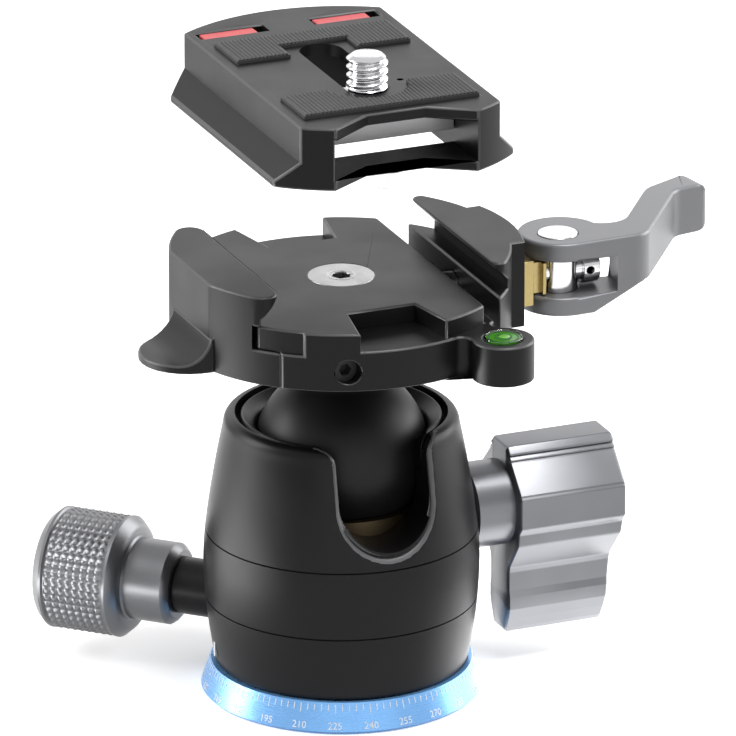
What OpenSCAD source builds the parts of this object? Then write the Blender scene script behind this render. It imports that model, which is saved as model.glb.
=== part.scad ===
// Tripod ball head with a drop notch, a lever clamp and its quick-release plate.
// +Z is up, the origin is the centre of the base's underside, +X is the main lock knob's
// side, -Y is the drop notch's side, and plates slide through the clamp along Y.

/* [Base] */
// How far the degree ring's foot stands out past the housing
ring_proud = 0.4; // [0:0.1:1]
// How far the degree ring's wall leans in from foot to top
ring_lean = 1.5; // [0.5:0.1:2]
// Height of the base and of its degree ring
base_h = 4.6; // [4:0.1:6]
// Width of the degree ring's flat top
ring_top_w = 2.5; // [1.5:0.1:3.5]
// Wall radius of the tripod thread, 3/8 inch
tripod_thread_r = 3.97; // [3.2:0.01:4.2]
// Depth of the tripod thread
tripod_thread_h = 9.5; // [7:0.1:10]
// Outer radius of the threaded insert
insert_r = 6; // [5.5:0.1:6.2]
// Radius of the hub on which the housing turns
spindle_r = 10.5; // [10.2:0.1:10.8]
// Radius of the hub's threaded neck
spindle_neck_r = 7; // [6:0.1:7.6]
// Radius of the circle of base screws
base_screw_circle = 8.3; // [8.2:0.05:8.5]
// Number of base screws
base_screw_count = 3; // [2:1:5]

/* [Housing] */
// Widest radius of the housing
housing_r = 20.6; // [20:0.1:22]
// How far the housing draws in from its widest place to its foot
foot_draw = 1.7; // [1:0.1:2.2]
// How far the housing draws in from its widest place to its shoulder
rim_draw = 3; // [1.8:0.1:3.1]
// Height of the widest place above the base
widest_z = 21.5; // [19:0.1:24]
// Height at which the shoulder begins
shoulder_z = 41.7; // [41.5:0.1:42.3]
// Height of the rim
rim_z = 43.5; // [43.3:0.1:44.5]
// Width of the drop notch
notch_w = 14.5; // [13.5:0.1:15.5]
// Height of the notch's round bottom
notch_z = 28; // [27:0.1:30]
// Radius that rounds the notch's top corners
notch_corner_r = 2.5; // [1:0.1:3]
// Depth of the seam grooves
seam_depth = 0.3; // [0.1:0.05:0.5]
// Width of the seam grooves
seam_w = 0.25; // [0.15:0.05:0.5]
// Radius of the cavity that holds the cup
cavity_r = 12.5; // [12.2:0.1:12.8]

/* [Ball] */
// Radius of the ball
ball_r = 13; // [12.6:0.1:13.2]
// Height of the ball's centre
ball_z = 37.5; // [37:0.1:37.8]
// Radius of the ball's neck
neck_r = 6.25; // [5.5:0.05:6.5]
// Height of the ball's flat top above its centre
ball_top = 10.5; // [10:0.1:11]
// Height of the clamp's underside above the ball's centre
neck_h = 18.5; // [18:0.1:21]
// Radius of the centre screw's shank
centre_screw_r = 3; // [2.5:0.1:3.4]
// Radius of the centre screw's head
centre_head_r = 5; // [4.5:0.1:6]

/* [Locks] */
// Height of the main lock's axis
main_axis_z = 25.4; // [25:0.1:26]
// Gap between the housing and the wing
wing_gap = 4.9; // [4:0.1:8]
// Length of the wing along its axis
wing_len = 17.2; // [12:0.1:20]
// Half the width of the wing's head
wing_head_w = 8.3; // [7.5:0.1:9]
// Height of the wing's head above its axis
wing_head_h = 9.5; // [9:0.1:11]
// Half the width of the wing's tail
wing_tail_w = 3.8; // [3.2:0.1:4.5]
// Reach of the wing's tail below its axis
wing_tail_h = 21; // [17:0.1:22]
// Radius of the main knob's neck
main_neck_r = 6.5; // [6:0.1:7]
// Radius of the main lock's shaft
main_shaft_r = 3; // [2.5:0.1:3.5]
// Height of the pan lock's axis
pan_axis_z = 11.9; // [11.7:0.1:12.1]
// Direction of the pan lock, in degrees from +X
pan_angle = 135; // [100:1:170]
// Radius of the pan lock's black boss
pan_boss_r = 4.3; // [3.5:0.1:4.6]
// How far the boss stands out of the housing
pan_boss_len = 5.4; // [4:0.1:8]
// Radius of the pan knob's neck
pan_neck_r = 6.2; // [5:0.05:6.5]
// Length of the pan knob's neck
pan_neck_len = 7.3; // [5:0.1:9]
// Radius of the pan knob's head
pan_knob_r = 9.2; // [8:0.1:9.5]
// Length of the pan knob's head
pan_knob_len = 13.7; // [9:0.1:15]
// Radius of the pan lock's shaft
pan_shaft_r = 2; // [1.6:0.1:2.3]
// Radius of the brake shoe
shoe_r = 2.5; // [2.2:0.1:2.6]

/* [Clamp] */
// Radius of the clamp's bed
clamp_r = 25.5; // [25.2:0.1:27]
// Thickness of the clamp's bed
bed_h = 8.9; // [8.4:0.1:10]
// Height of the jaws above the bed's floor
jaw_rise = 4.6; // [4.5:0.1:5.2]
// Distance from the centre line to the jaws' tips when closed
jaw_tip_x = 16.2; // [16:0.05:16.8]
// Travel of the moving jaw
jaw_travel = 1.5; // [1.5:0.1:2.2]
// Width of the step beside the floor on the moving jaw's side
floor_step = 1.75; // [1.2:0.05:2.5]
// Depth of the steps beside the floor and of the recesses for the plate's stop pins
step_h = 2.8; // [2.7:0.05:3]
// How far the thumb tab stands out of the clamp
tab_reach = 6.9; // [4:0.1:9]
// Half the width of the thumb tab at its root
tab_half_w = 7.5; // [6:0.1:9]
// Half the width of the stop recesses at their backs
stop_recess_w = 5.3; // [4:0.1:7]
// How much each side of the stop recesses spreads towards the rim
stop_recess_flare = 1.9; // [0:0.1:2.5]
// Distance from the centre line to the stop recesses
stop_recess_y = 15.4; // [14.8:0.1:15.6]
// Radius of the level's ear
ear_r = 4.6; // [4.2:0.1:5.5]
// Radius of the level's vial
vial_r = 2.95; // [2.5:0.05:3.3]
// Radius of the guide pins
guide_r = 1.5; // [1.2:0.1:1.7]
// Distance of each guide pin from the draw bolt
guide_y = 6.2; // [6:0.1:6.3]
// Radius of the draw bolt
draw_r = 2; // [1.5:0.1:2.1]

/* [Lever] */
// Distance from the clamp's edge to the lever's pin
lever_reach = 9.3; // [9.2:0.1:10.5]
// Height of the lever
lever_h = 11.4; // [10.4:0.1:12]
// Radius of the lever's round cam
cam_r = 6.4; // [5.8:0.1:6.4]
// Radius of the lever's pin
lever_pin_r = 3; // [2.7:0.1:3.1]
// Height of the slot between the lever's ears
slot_h = 5.6; // [5.4:0.1:6]
// Distance from the pin to the lever's bend
bend_x = 12.2; // [10.5:0.1:14]
// Angle of the lever's bend
bend_angle = 54; // [40:1:60]
// Length of the lever's arm past the bend
arm_len = 19.6; // [15:0.1:22]
// Thickness of the lever's arm
arm_t = 4.6; // [4:0.1:5.5]
// Length of the lever's tip
tip_len = 6; // [4:0.1:8]
// Thickness of the lever's tip
tip_t = 6; // [5:0.1:6.5]
// Height of the lever's arm
arm_h = 7.4; // [6:0.1:9]

/* [Plate] */
// Height at which the lifted plate floats above the clamp's floor
plate_lift = 23; // [10:0.1:40]
// Radius of the plate's round ends
plate_r = 27.75; // [27:0.05:30]
// Thickness of the plate
plate_h = 9.6; // [8.5:0.1:10]
// Half the width across the dovetail
dovetail_w = 19; // [18.9:0.05:19.2]
// Height of the dovetail's edge
dovetail_edge = 1; // [0.5:0.05:1]
// Height of the dovetail's slope
dovetail_slope = 3.2; // [2.9:0.05:3.3]
// Thickness of the plate's top wall
plate_wall = 1.8; // [1.4:0.1:2.2]
// Half the width of the hollow under the plate
hollow_w = 11.3; // [10:0.1:12.5]
// Distance from the centre to the hollow's back wall
hollow_back_y = 14.5; // [14.3:0.1:15.3]
// Distance from the centre to the front bar's inner face
bar_y = 15.5; // [15:0.1:15.7]
// Height of the front bar
bar_h = 1.6; // [1.4:0.1:2.4]
// Distance from the centre to the finger recess
recess_y = 21.1; // [21:0.05:21.5]
// Radius of the camera screw's thread, 1/4 inch
camera_thread_r = 3.1; // [2.8:0.05:3.1]
// Length of the camera screw's thread above the plate
camera_thread_len = 5; // [3.5:0.1:6]
// Distance from the centre to the camera screw
camera_screw_y = 10; // [8:0.1:10.2]
// Travel of the camera screw along its slot
screw_travel = 17.5; // [8:0.1:17.5]
// Radius of the camera screw's head
camera_head_r = 5.5; // [5:0.1:5.8]
// Thickness of the rubber pads above the plate
pad_h = 0.7; // [0.5:0.05:1]
// Half the width of the rubber pads
pad_w = 13.8; // [11:0.1:14.5]
// Radius of the stop pins
stop_pin_r = 2.5; // [2:0.1:2.7]
// Height of the stop pins below the plate
stop_pin_h = 2.6; // [1.5:0.1:2.7]
// Distance of the stop pins from the plate's centre
stop_pin_y = 18.4; // [18:0.1:18.5]

/* [Clearances] */
// Gap round pieces that are fitted together and don't move
seat_gap = 0.02; // [0.02:0.01:0.05]
// Radial gap of a shaft that turns or slides in its bore
run_gap = 0.08; // [0.05:0.01:0.1]
// Gap between flat faces that turn on each other
face_gap = 0.05; // [0.03:0.01:0.1]
// Gap between the degree ring and the housing
pan_gap = 0.3; // [0.2:0.05:0.5]
// Gap between the released ball and its lower cup
cup_gap = 0.3; // [0.28:0.01:0.35]

/* [Hidden] */
$fn = 96;
eps = 0.01;          // overlap of solids that are joined in one piece
cut = 1;             // how far a cutter reaches past the face that it opens

// Base and pan bearing
ring_foot_r = housing_r + ring_proud;
ring_top_r = ring_foot_r - ring_lean;
base_plate_r = ring_top_r - ring_top_w;
chamfer = 0.5;
insert_wall_z = 0.1;                       // gap above the insert
spindle_shoulder_z = pan_axis_z + shoe_r + 1;
washer_t = 0.8;
thrust_washer_r = 14;
retaining_washer_r = cavity_r - 0.3;
nut_r = spindle_r;
nut_h = 2.9;
nut_z = spindle_shoulder_z + washer_t;
nut_top = nut_z + nut_h;
base_screw_r = 1.5;
base_screw_head_r = 2.2;
base_screw_len = base_h + 6;
base_screw_sink = 0.2;                     // how far the heads lie below the underside

// Housing
housing_foot_r = housing_r - foot_draw;
housing_rim_r = housing_r - rim_draw;
housing_z = base_h + pan_gap;
lower_seam = 9.9;                          // heights of the seams above the housing's foot
upper_seam = 20.4;
seams_z = [housing_z + lower_seam, housing_z + upper_seam];
bearing_z = base_h + washer_t + face_gap;  // face that runs on the thrust washer
ledge_z = spindle_shoulder_z - face_gap;   // face under the retaining washer
bushing_t = 1.4;
bushing_top = pan_axis_z - shoe_r - 0.2;
spindle_room = 0.3;                        // gap between spindle and housing above the bush
ball_room = 0.6;                           // gap round the ball below its ring
cup_drop = 7.2;                            // depth of the cup's rim below the ball's centre
cup_top = ball_z - cup_drop;
ring_thread_z = ball_z + 0.3;
ring_thread_r = ball_r + 2.15;
ring_groove_z = ball_z + 3.5;
ring_groove_w = 0.7;
ring_top_z = rim_z - 0.2;
rim_round = rim_z - shoulder_z;
barrel_steps = 14;
mark_angle = 172;
mark_w = 0.8;
mark_h = 2.2;
mark_t = 0.4;
mark_z = housing_z + 1.4;
bearing_flat = 2.5;                        // how far the notch stays clear of the cavity's wall
notch_x = cavity_r - bearing_flat;

// Main lock: the shaft draws a wedge outwards, and its sloped nose lifts the cup
wedge_t = 3;                               // thickness of the block along the shaft
wedge_w = 8.8;
wedge_slide = 0.5;                         // travel of the wedge
wedge_z0 = nut_top + 0.7;
wedge_z1 = main_axis_z + main_shaft_r + 0.5;
wedge_x0 = cavity_r + 0.4;
wedge_x1 = wedge_x0 + wedge_t;
nose_len = 4.4;                            // reach of the nose under the cup
nose_x = wedge_x0 - nose_len;
nose_t = 1.2;                              // thickness of the nose at its root
nose_slope = 0.5;
nose_gap = 0.1;
pocket_x = wedge_x1 + wedge_slide + 0.1;
main_bushing_r = 5;
spot_depth = 1.3;                          // depth of the recess round the knob's neck
spot_x = housing_r - spot_depth;
wing_x0 = housing_r + wing_gap;
spot_gap = 0.3;
shaft_nose_r = 2;
main_shaft_end = wing_x0 + wing_len - 4;
grub_r = 1.25;
grub_x = wing_x0 - 3;
cup_r = cavity_r - 0.1;
cup_z = nut_top + 1.7;
cup_bore_r = 4;

// Pan lock
boss_depth = 3.3;                          // length of the boss inside the housing
boss_x0 = housing_r - boss_depth;
pan_boss_x = housing_r + pan_boss_len;
pan_end_wall = 2;                          // wall of the knob past its shaft
shoe_gap = 0.3;                            // gap between the released shoe and the spindle
shoe_x0 = spindle_r + shoe_gap;
shoe_len = 4.1;
pan_nose_r = 1.2;
pan_nose_x = shoe_x0 + 1.8;
pan_thread_x = shoe_x0 + shoe_len + 0.3;
pan_head_x = pan_boss_x + pan_neck_len;
band_w = 2.2;                              // smooth bands beside the knurl
band_drop = 1.1;
knurl_depth = 0.35;
knurl_pitch = 1.19;
knurl_x0 = pan_head_x + band_w;
knurl_len = pan_knob_len - 2 * band_w;
knurl_count = floor(knurl_len / knurl_pitch);

// Clamp
clamp_z = ball_z + neck_h;
floor_z = clamp_z + bed_h;
jaw_top_z = floor_z + jaw_rise;
thread_depth = 11;                         // depth of the centre screw's thread in the neck
centre_head_h = 2;
jaw_gap = 0.28;                            // gap between dovetail and jaw, square to the slope
jaw_root_x = dovetail_w + 0.3;
jaw_edge_z = floor_z + dovetail_edge + dovetail_w - jaw_root_x + jaw_gap * sqrt(2);
jaw_lip_z = jaw_edge_z + jaw_root_x - jaw_tip_x;
tongue_x = 5.9 - clamp_r;                  // end of the bed's tongue
fixed_face_x = tongue_x - 0.8;             // face of the fixed jaw towards the tongue
step_face_x = tongue_x + 2.4;              // end of the bed's full circle
tongue_inset = 0.5;
tongue_root_x = tongue_x + 5.1;            // where the bed narrows above the fixed jaw's foot
foot_h = 5.3;                              // height of the fixed jaw's foot
flat_x = 1.2 - clamp_r;                    // flat side of the fixed jaw
jaw_round = 2.2;                           // rounding of the fixed jaw's tips in plan
moving_round = 1.2;                        // rounding of the moving jaw's tips in plan
tongue_round = 2.5;                        // rounding of the tongue's back corner
jaw_screw_y = 9;
jaw_screw_x = (tongue_x + step_face_x) / 2;
jaw_screw_r = 0.8;
jaw_screw_head_r = 1.1;
jaw_screw_bite = 2.6;                      // length of their thread in the bed
tab_x = clamp_r + tab_reach;
tab_y = -1.5;                              // middle of the tab
tab_root_x = -flat_x - 0.4;
tab_h = 5.2;
scoop_r = 5;
tab_lip = 1.2;                             // thickness of the tab past its scoop
bed_x = clamp_r - 9.3;                     // face of the bed towards the moving jaw
floor_x = bed_x - floor_step;
moving_foot_x = bed_x + 0.3 + jaw_travel;
moving_r = clamp_r - 0.3;
boss_r = clamp_r + 1.7;                    // the boss at the lever is round about the clamp's middle
boss_face_x = boss_r - 0.9;                // flat seat of the saddle in the boss
boss_w = 17;
guide_z = clamp_z + 3.8;
spring_x = bed_x - 5;
spring_r = 2;
spring_room = 0.1;
wire_r = 0.2;
spring_turns = 5;
guide_x0 = 8;
guide_end = boss_face_x - jaw_travel - 0.9;
ear_x = 14.6;
ear_y = -(clamp_r + 1.4);
ear_h = bed_h - step_h;
ear_dist = norm([ear_x, ear_y]);
blend_r = 1.5;                             // radius of the hollow corners between bed and ear
blend_reach = clamp_r + blend_r;
blend_u = (pow(blend_reach, 2) + pow(ear_dist, 2) - pow(ear_r + blend_r, 2)) / (2 * ear_dist);
blend_v = sqrt(pow(blend_reach, 2) - pow(blend_u, 2));
web_w = 2 * blend_v * clamp_r / blend_reach;
web_end = ear_dist - (ear_dist - blend_u) * ear_r / (ear_r + blend_r);
ledge_r = clamp_r - 0.8;                   // wall of the floor above the ledge beside the ear
vial_z = clamp_z + 3.4;
vial_crown = 0.35;
vial_wall = 0.4;
stop_screw_x = -8.7;
stop_screw_z = clamp_z + 3;
stop_screw_r = 1.85;
stop_screw_y0 = -16;
stop_screw_y1 = -22.6;

// Lever: the cam's centre lies off the pin, so that a quarter turn pushes by jaw_travel
cam_offset = jaw_travel / 2;
lever_x = clamp_r + lever_reach;
cam_x = lever_x + cam_offset;
cam_y = cam_offset;
lever_z0 = clamp_z - 0.7;
lever_z1 = lever_z0 + lever_h;
draw_z = lever_z0 + lever_h / 2;
slot_z0 = lever_z0 + (lever_h - slot_h) / 2;
slot_r = 9.2;
saddle_gap = 0.1;
saddle_x1 = lever_x - cam_r + cam_offset - saddle_gap;
saddle_w = 9;
saddle_over = 0.7;                         // how far the saddle's plate overlaps the ears
saddle_z0 = slot_z0 - saddle_over;
saddle_z1 = slot_z0 + slot_h + saddle_over;
spool_x = lever_x - lever_pin_r - 0.2;     // end of the saddle's spool beside the pin
spool_t = 0.6;
spool_gap = 0.3;
draw_x0 = 9;
draw_head_r = slot_h / 2 - 0.2;
draw_head_len = 2.6;
bolt_room = 0.15;

// Plate
plate_z = floor_z + plate_lift;
plate_top = plate_z + plate_h;
neck_w = dovetail_w - dovetail_slope;
hollow_top = plate_top - plate_wall;
bar_top = plate_z + bar_h;
recess_half = 4.5;
recess_front = 25.4;
slot_gap = 0.2;
dot_r = 0.5;
dot_xy = [5.8, -8.6];
slide_gap = 0.05;                          // gaps above the slide block and above the screw's head
slide_t = 4.1;
slide_half_w = hollow_w - 0.1;
slide_half_len = 6.2;
slide_z1 = hollow_top - slide_gap;
slide_z0 = slide_z1 - slide_t;
head_room = 0.15;                          // gap round the screw's head in the block
camera_head_h = 2.2;
shank_r = camera_thread_r - 0.2;
camera_key_r = 2.6;                        // socket in the underside of the screw's head
camera_head_z = slide_z0 + camera_head_h + slide_gap;
thread_z = plate_top + 0.2;
tip_chamfer = 0.4;
front_pad_y = [-19.5, -10.3];
rear_pad_y = [6.6, 15.5];
rear_notch_w = 5.3;                        // half the width of the rear pad's notch
rear_notch_y = screw_travel - camera_screw_y + camera_thread_r + 0.3;
pad_sink = 0.5;                            // depth of the pads' beds
insert_x = 9;
insert_y = 20.5;
insert_len = 8.6;
insert_w = 3.2;
insert_slot = 10.8;
insert_depth = 1.4;
insert_sink = 0.3;

// Outline helpers: rounded() walks a closed outline and turns each corner into an arc
function arc_point(m, p, q, w, s) =
    m + ((p - m) * sin((1 - s) * w) + (q - m) * sin(s * w)) / sin(w);
function corner(a, b, c, r, n) =
    let (u = (a - b) / norm(a - b), v = (c - b) / norm(c - b), half = acos(u * v) / 2)
    let (m = b + (u + v) / norm(u + v) * r / sin(half), t = r / tan(half))
    r == 0 ? [b] : [for (i = [0:n]) arc_point(m, b + u * t, b + v * t, 180 - 2 * half, i / n)];
function rounded(pts, radii, n = 6) =
    let (k = len(pts))
    [for (i = [0:k - 1]) each corner(pts[(i + k - 1) % k], pts[i], pts[(i + 1) % k], radii[i], n)];

// Cylinders along an axis, from one coordinate to the next
module along_x(x0, x1, r) { translate([x0, 0, 0]) rotate([0, 90, 0]) cylinder(h = x1 - x0, r = r); }
module along_y(y0, y1, r) { translate([0, y1, 0]) rotate([90, 0, 0]) cylinder(h = y1 - y0, r = r); }
module along_z(z0, z1, r) { translate([0, 0, z0]) cylinder(h = z1 - z0, r = r); }
module tube_z(z0, z1, r_in, r_out) {
    difference() {
        along_z(z0, z1, r_out);
        along_z(z0 - cut, z1 + cut, r_in);
    }
}
// A box between two opposite corners
module block(a, b) { translate(a) cube(b - a); }
// An outline in X and Z, drawn out along Y from y0 to y1
module slab_xz(y0, y1, pts) { translate([0, y1, 0]) rotate([90, 0, 0]) linear_extrude(y1 - y0) polygon(pts); }
// An outline in Y and Z, drawn out along X from x0 to x1
module slab_yz(x0, x1, pts) {
    translate([x0, 0, 0]) rotate([90, 0, 90]) linear_extrude(x1 - x0) polygon(pts);
}
// Countersunk screw that points up, with its head's face at z = 0; grow widens it for its hole
module countersunk(head_r, shank_r, len, grow = 0) {
    sink = head_r - shank_r;
    translate([0, 0, -grow]) cylinder(h = sink + grow, r1 = head_r + grow, r2 = shank_r + grow);
    cylinder(h = len + grow, r = shank_r + grow);
}
module hex_socket(z, depth, r) { translate([0, 0, z]) cylinder(h = depth, r = r, $fn = 6); }
module on_pan_axis() { rotate([0, 0, pan_angle]) translate([0, 0, pan_axis_z]) children(); }
module on_main_axis() { translate([0, 0, main_axis_z]) children(); }
module at_base_screws() {
    for (i = [0:base_screw_count - 1])
        rotate([0, 0, 90 + 360 * i / base_screw_count]) translate([base_screw_circle, 0, 0]) children();
}

// ---- Base ----
module base_plate() {
    color("dimgray") difference() {
        along_z(0, base_h, base_plate_r);
        along_z(-cut, base_h + cut, insert_r + seat_gap);
        at_base_screws() {
            along_z(-cut, base_screw_sink, base_screw_head_r + seat_gap);
            translate([0, 0, base_screw_sink])
                countersunk(base_screw_head_r, base_screw_r, base_h, seat_gap);
        }
    }
}
module degree_ring() {
    color("lightsteelblue") rotate_extrude() polygon([
        [base_plate_r + seat_gap, 0],
        [ring_foot_r - chamfer, 0],
        [ring_foot_r, chamfer],
        [ring_top_r, base_h],
        [base_plate_r + seat_gap, base_h]
    ]);
}
module tripod_insert() {
    color("silver") tube_z(0, tripod_thread_h, tripod_thread_r, insert_r);
}
module base_screws() {
    color("darkgray") at_base_screws() difference() {
        translate([0, 0, base_screw_sink]) countersunk(base_screw_head_r, base_screw_r, base_screw_len);
        hex_socket(0, base_screw_sink + 1.2, 1);
    }
}
module pan_spindle() {
    color("silver") difference() {
        union() {
            along_z(base_h, spindle_shoulder_z, spindle_r);
            along_z(spindle_shoulder_z - eps, nut_top, spindle_neck_r);
        }
        along_z(base_h - cut, tripod_thread_h + insert_wall_z, insert_r + seat_gap);
        at_base_screws() along_z(0, base_screw_sink + base_screw_len + insert_wall_z, base_screw_r + seat_gap);
    }
}
module thrust_washer() {
    color("ivory") tube_z(base_h, base_h + washer_t, spindle_r + run_gap, thrust_washer_r);
}
module retaining_washer() {
    color("gray")
        tube_z(spindle_shoulder_z, nut_z, spindle_neck_r + seat_gap, retaining_washer_r);
}
module pan_nut() {
    color("darkgray") tube_z(nut_z, nut_top, spindle_neck_r + seat_gap, nut_r);
}

// ---- Housing ----
// Radius of the barrel at height z: parabola below the widest place, steeper power above it
function barrel_r(z) = z < widest_z
    ? housing_r - (housing_r - housing_foot_r) * pow((widest_z - z) / (widest_z - housing_z), 2)
    : housing_r - (housing_r - housing_rim_r) * pow((z - widest_z) / (shoulder_z - widest_z), 1.4);
function barrel_line() = [
    for (i = [0:barrel_steps])
        let (z = housing_z + (shoulder_z - housing_z) * i / barrel_steps) [barrel_r(z), z]
];
// Quarter arc over the shoulder
function shoulder_line() = [
    for (i = [1:6]) [
        housing_rim_r - rim_round * 0.8 * (1 - cos(15 * i)),
        shoulder_z + rim_round * sin(15 * i)
    ]
];
module notch_cut() {
    w = notch_w / 2;
    top = rim_z;
    flare = notch_corner_r;
    along_y_centre = notch_z + w;
    translate([0, 0, along_y_centre]) along_y(-housing_r - cut, -notch_x, w);
    slab_xz(-housing_r - cut, -notch_x, concat(
        [[-w, along_y_centre], [w, along_y_centre]],
        [for (i = [0:6]) [w + flare * (1 - cos(15 * i)), top - flare + flare * sin(15 * i)]],
        [[w + flare, top + cut], [-w - flare, top + cut]],
        [for (i = [6:-1:0]) [-w - flare * (1 - cos(15 * i)), top - flare + flare * sin(15 * i)]]
    ));
}
module seam(z) {
    r = barrel_r(z);
    tube_z(z - seam_w / 2, z + seam_w / 2, r - seam_depth, r + cut);
}
module index_bar(grow) {
    rotate([0, 0, mark_angle]) block(
        [barrel_r(mark_z) - mark_t - grow, -mark_w / 2 - grow, mark_z - grow],
        [barrel_r(mark_z + mark_h) + (grow > 0 ? cut : 0), mark_w / 2 + grow, mark_z + mark_h + grow]
    );
}
module housing() {
    color("black") difference() {
        rotate_extrude() polygon(concat([[0, housing_z]], barrel_line(), shoulder_line(), [[0, rim_z]]));
        along_z(0, bearing_z, thrust_washer_r + spindle_room);
        along_z(0, bushing_top + seat_gap, spindle_r + run_gap + bushing_t + seat_gap);
        along_z(0, ledge_z + cut, spindle_r + spindle_room);
        along_z(ledge_z, cup_top + eps, cavity_r);
        along_z(cup_top, ring_thread_z + eps, ball_r + ball_room);
        along_z(ring_thread_z, rim_z + cut, ring_thread_r + seat_gap);
        along_z(ring_groove_z, rim_z + cut, ring_thread_r + ring_groove_w);
        notch_cut();
        for (z = seams_z) seam(z);
        index_bar(seat_gap);
        block([nose_x, -wedge_w / 2 - 0.1, wedge_z0 - 0.1], [pocket_x, wedge_w / 2 + 0.1, wedge_z1 + 0.1]);
        on_main_axis() {
            along_x(pocket_x - eps, spot_x + eps, main_bushing_r + seat_gap);
            along_x(spot_x, housing_r + cut, main_neck_r + spot_gap);
        }
        on_pan_axis() {
            along_x(spindle_r, boss_x0 + eps, shoe_r + run_gap);
            along_x(boss_x0, housing_r + cut, pan_boss_r + seat_gap);
        }
    }
}
module index_mark() { color("white") index_bar(0); }
module pan_bushing() {
    color("peru") tube_z(bearing_z, bushing_top, spindle_r + run_gap, spindle_r + run_gap + bushing_t);
}
module ball_retaining_ring() {
    lip_z = ball_z + 3;
    color("dimgray") difference() {
        rotate_extrude() polygon(concat(
            [[ball_r, ring_thread_z], [ring_thread_r, ring_thread_z], [ring_thread_r, ring_top_z - 0.5]],
            [[ring_thread_r - 0.4, ring_top_z], [ball_r + 0.1, ring_top_z - 1.4], [ball_r - 0.6, lip_z]]
        ));
        translate([0, 0, ball_z]) sphere(r = ball_r + run_gap);
        notch_cut();
    }
}
module main_bushing() {
    color("peru") on_main_axis() difference() {
        along_x(pocket_x, spot_x, main_bushing_r);
        along_x(pocket_x - cut, spot_x + cut, main_shaft_r + run_gap);
    }
}
module pan_boss() {
    color("black") on_pan_axis() difference() {
        along_x(boss_x0, pan_boss_x - face_gap, pan_boss_r);
        along_x(boss_x0 - cut, pan_boss_x + cut, pan_shaft_r + run_gap);
    }
}

// ---- Main lock ----
module main_knob() {
    x1 = wing_x0 + wing_len;
    half = [
        [3, wing_head_h], [wing_head_w - 3.4, wing_head_h - 2.1], [wing_head_w, 2.8],
        [wing_head_w, -2.7], [wing_tail_w, -wing_tail_h / 2], [wing_tail_w, 0.7 - wing_tail_h]
    ];
    outline = concat(half, [for (i = [len(half) - 1:-1:0]) [-half[i][0], half[i][1]]]);
    rounds = [1.5, 3, 2.4, 2.4, 7, 0.9];
    color("slategray") on_main_axis() difference() {
        union() {
            along_x(spot_x + face_gap, wing_x0 + eps, main_neck_r);
            slab_yz(wing_x0, x1, rounded(outline, concat(rounds, [for (i = [5:-1:0]) rounds[i]])));
        }
        along_x(0, main_shaft_end + seat_gap, main_shaft_r + seat_gap);
        translate([grub_x, 0, 0]) along_y(0, main_neck_r + cut, grub_r + seat_gap);
    }
}
module main_shaft() {
    color("silver") on_main_axis() {
        along_x(wedge_x0 + 0.4, pocket_x + eps, shaft_nose_r);
        along_x(pocket_x, main_shaft_end, main_shaft_r);
    }
}
module knob_grub_screw() {
    color("darkgray") on_main_axis() translate([grub_x, 0, 0]) rotate([-90, 0, 0]) difference() {
        along_z(main_shaft_r + seat_gap, main_neck_r - 0.3, grub_r);
        hex_socket(main_neck_r - 1.6, 2, 0.7);
    }
}
// Height of the nose's sloped face at distance x from the centre line
function nose_top(x) = wedge_z0 + nose_t + (wedge_x0 - x) * nose_slope;
module pressure_wedge() {
    color("silver") difference() {
        slab_xz(-wedge_w / 2, wedge_w / 2, [
            [nose_x, wedge_z0], [wedge_x1, wedge_z0], [wedge_x1, wedge_z1],
            [wedge_x0, wedge_z1], [wedge_x0, nose_top(wedge_x0)], [nose_x, nose_top(nose_x)]
        ]);
        on_main_axis() along_x(wedge_x0 - cut, wedge_x1 + cut, shaft_nose_r + run_gap);
    }
}
module lower_cup() {
    color("peru") difference() {
        along_z(cup_z, cup_top, cup_r);
        along_z(cup_z - cut, cup_top + cut, cup_bore_r);
        translate([0, 0, ball_z]) sphere(r = ball_r + cup_gap);
        slab_xz(-wedge_w / 2 - 0.2, wedge_w / 2 + 0.2, [
            [nose_x - 0.3, cup_z - cut], [cavity_r + cut, cup_z - cut],
            [cavity_r + cut, nose_top(cavity_r + cut) + nose_gap],
            [nose_x - 0.3, nose_top(nose_x - 0.3) + nose_gap]
        ]);
    }
}

// ---- Pan lock ----
module pan_knob() {
    x1 = pan_head_x + pan_knob_len;
    color("slategray") on_pan_axis() difference() {
        rotate([0, 90, 0]) rotate_extrude() polygon(concat(
            [[0, pan_boss_x], [pan_neck_r - 0.3, pan_boss_x], [pan_neck_r, pan_boss_x + 0.3]],
            [[pan_neck_r, pan_head_x], [pan_knob_r - band_drop, pan_head_x]],
            [[pan_knob_r, pan_head_x + band_w - 0.4], [pan_knob_r, knurl_x0]],
            [for (i = [0:knurl_count - 1]) each [
                [pan_knob_r - knurl_depth, knurl_x0 + (i + 0.12) * knurl_len / knurl_count],
                [pan_knob_r, knurl_x0 + (i + 0.24) * knurl_len / knurl_count],
                [pan_knob_r, knurl_x0 + (i + 1) * knurl_len / knurl_count]
            ]],
            [[pan_knob_r, x1 - band_w + 0.4], [pan_knob_r - band_drop, x1], [0, x1]]
        ));
        along_x(0, x1 - pan_end_wall, pan_shaft_r + seat_gap);
    }
}
module pan_shaft() {
    color("silver") on_pan_axis() {
        along_x(pan_nose_x, pan_thread_x + eps, pan_nose_r);
        along_x(pan_thread_x, pan_head_x + pan_knob_len - pan_end_wall - seat_gap, pan_shaft_r);
    }
}
module brake_shoe() {
    color("peru") on_pan_axis() difference() {
        along_x(spindle_r - cut, shoe_x0 + shoe_len, shoe_r);
        translate([0, 0, -shoe_r - cut]) along_z(0, 2 * (shoe_r + cut), shoe_x0);
        along_x(pan_nose_x - 0.6, shoe_x0 + shoe_len + cut, pan_nose_r + run_gap);
    }
}

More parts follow.
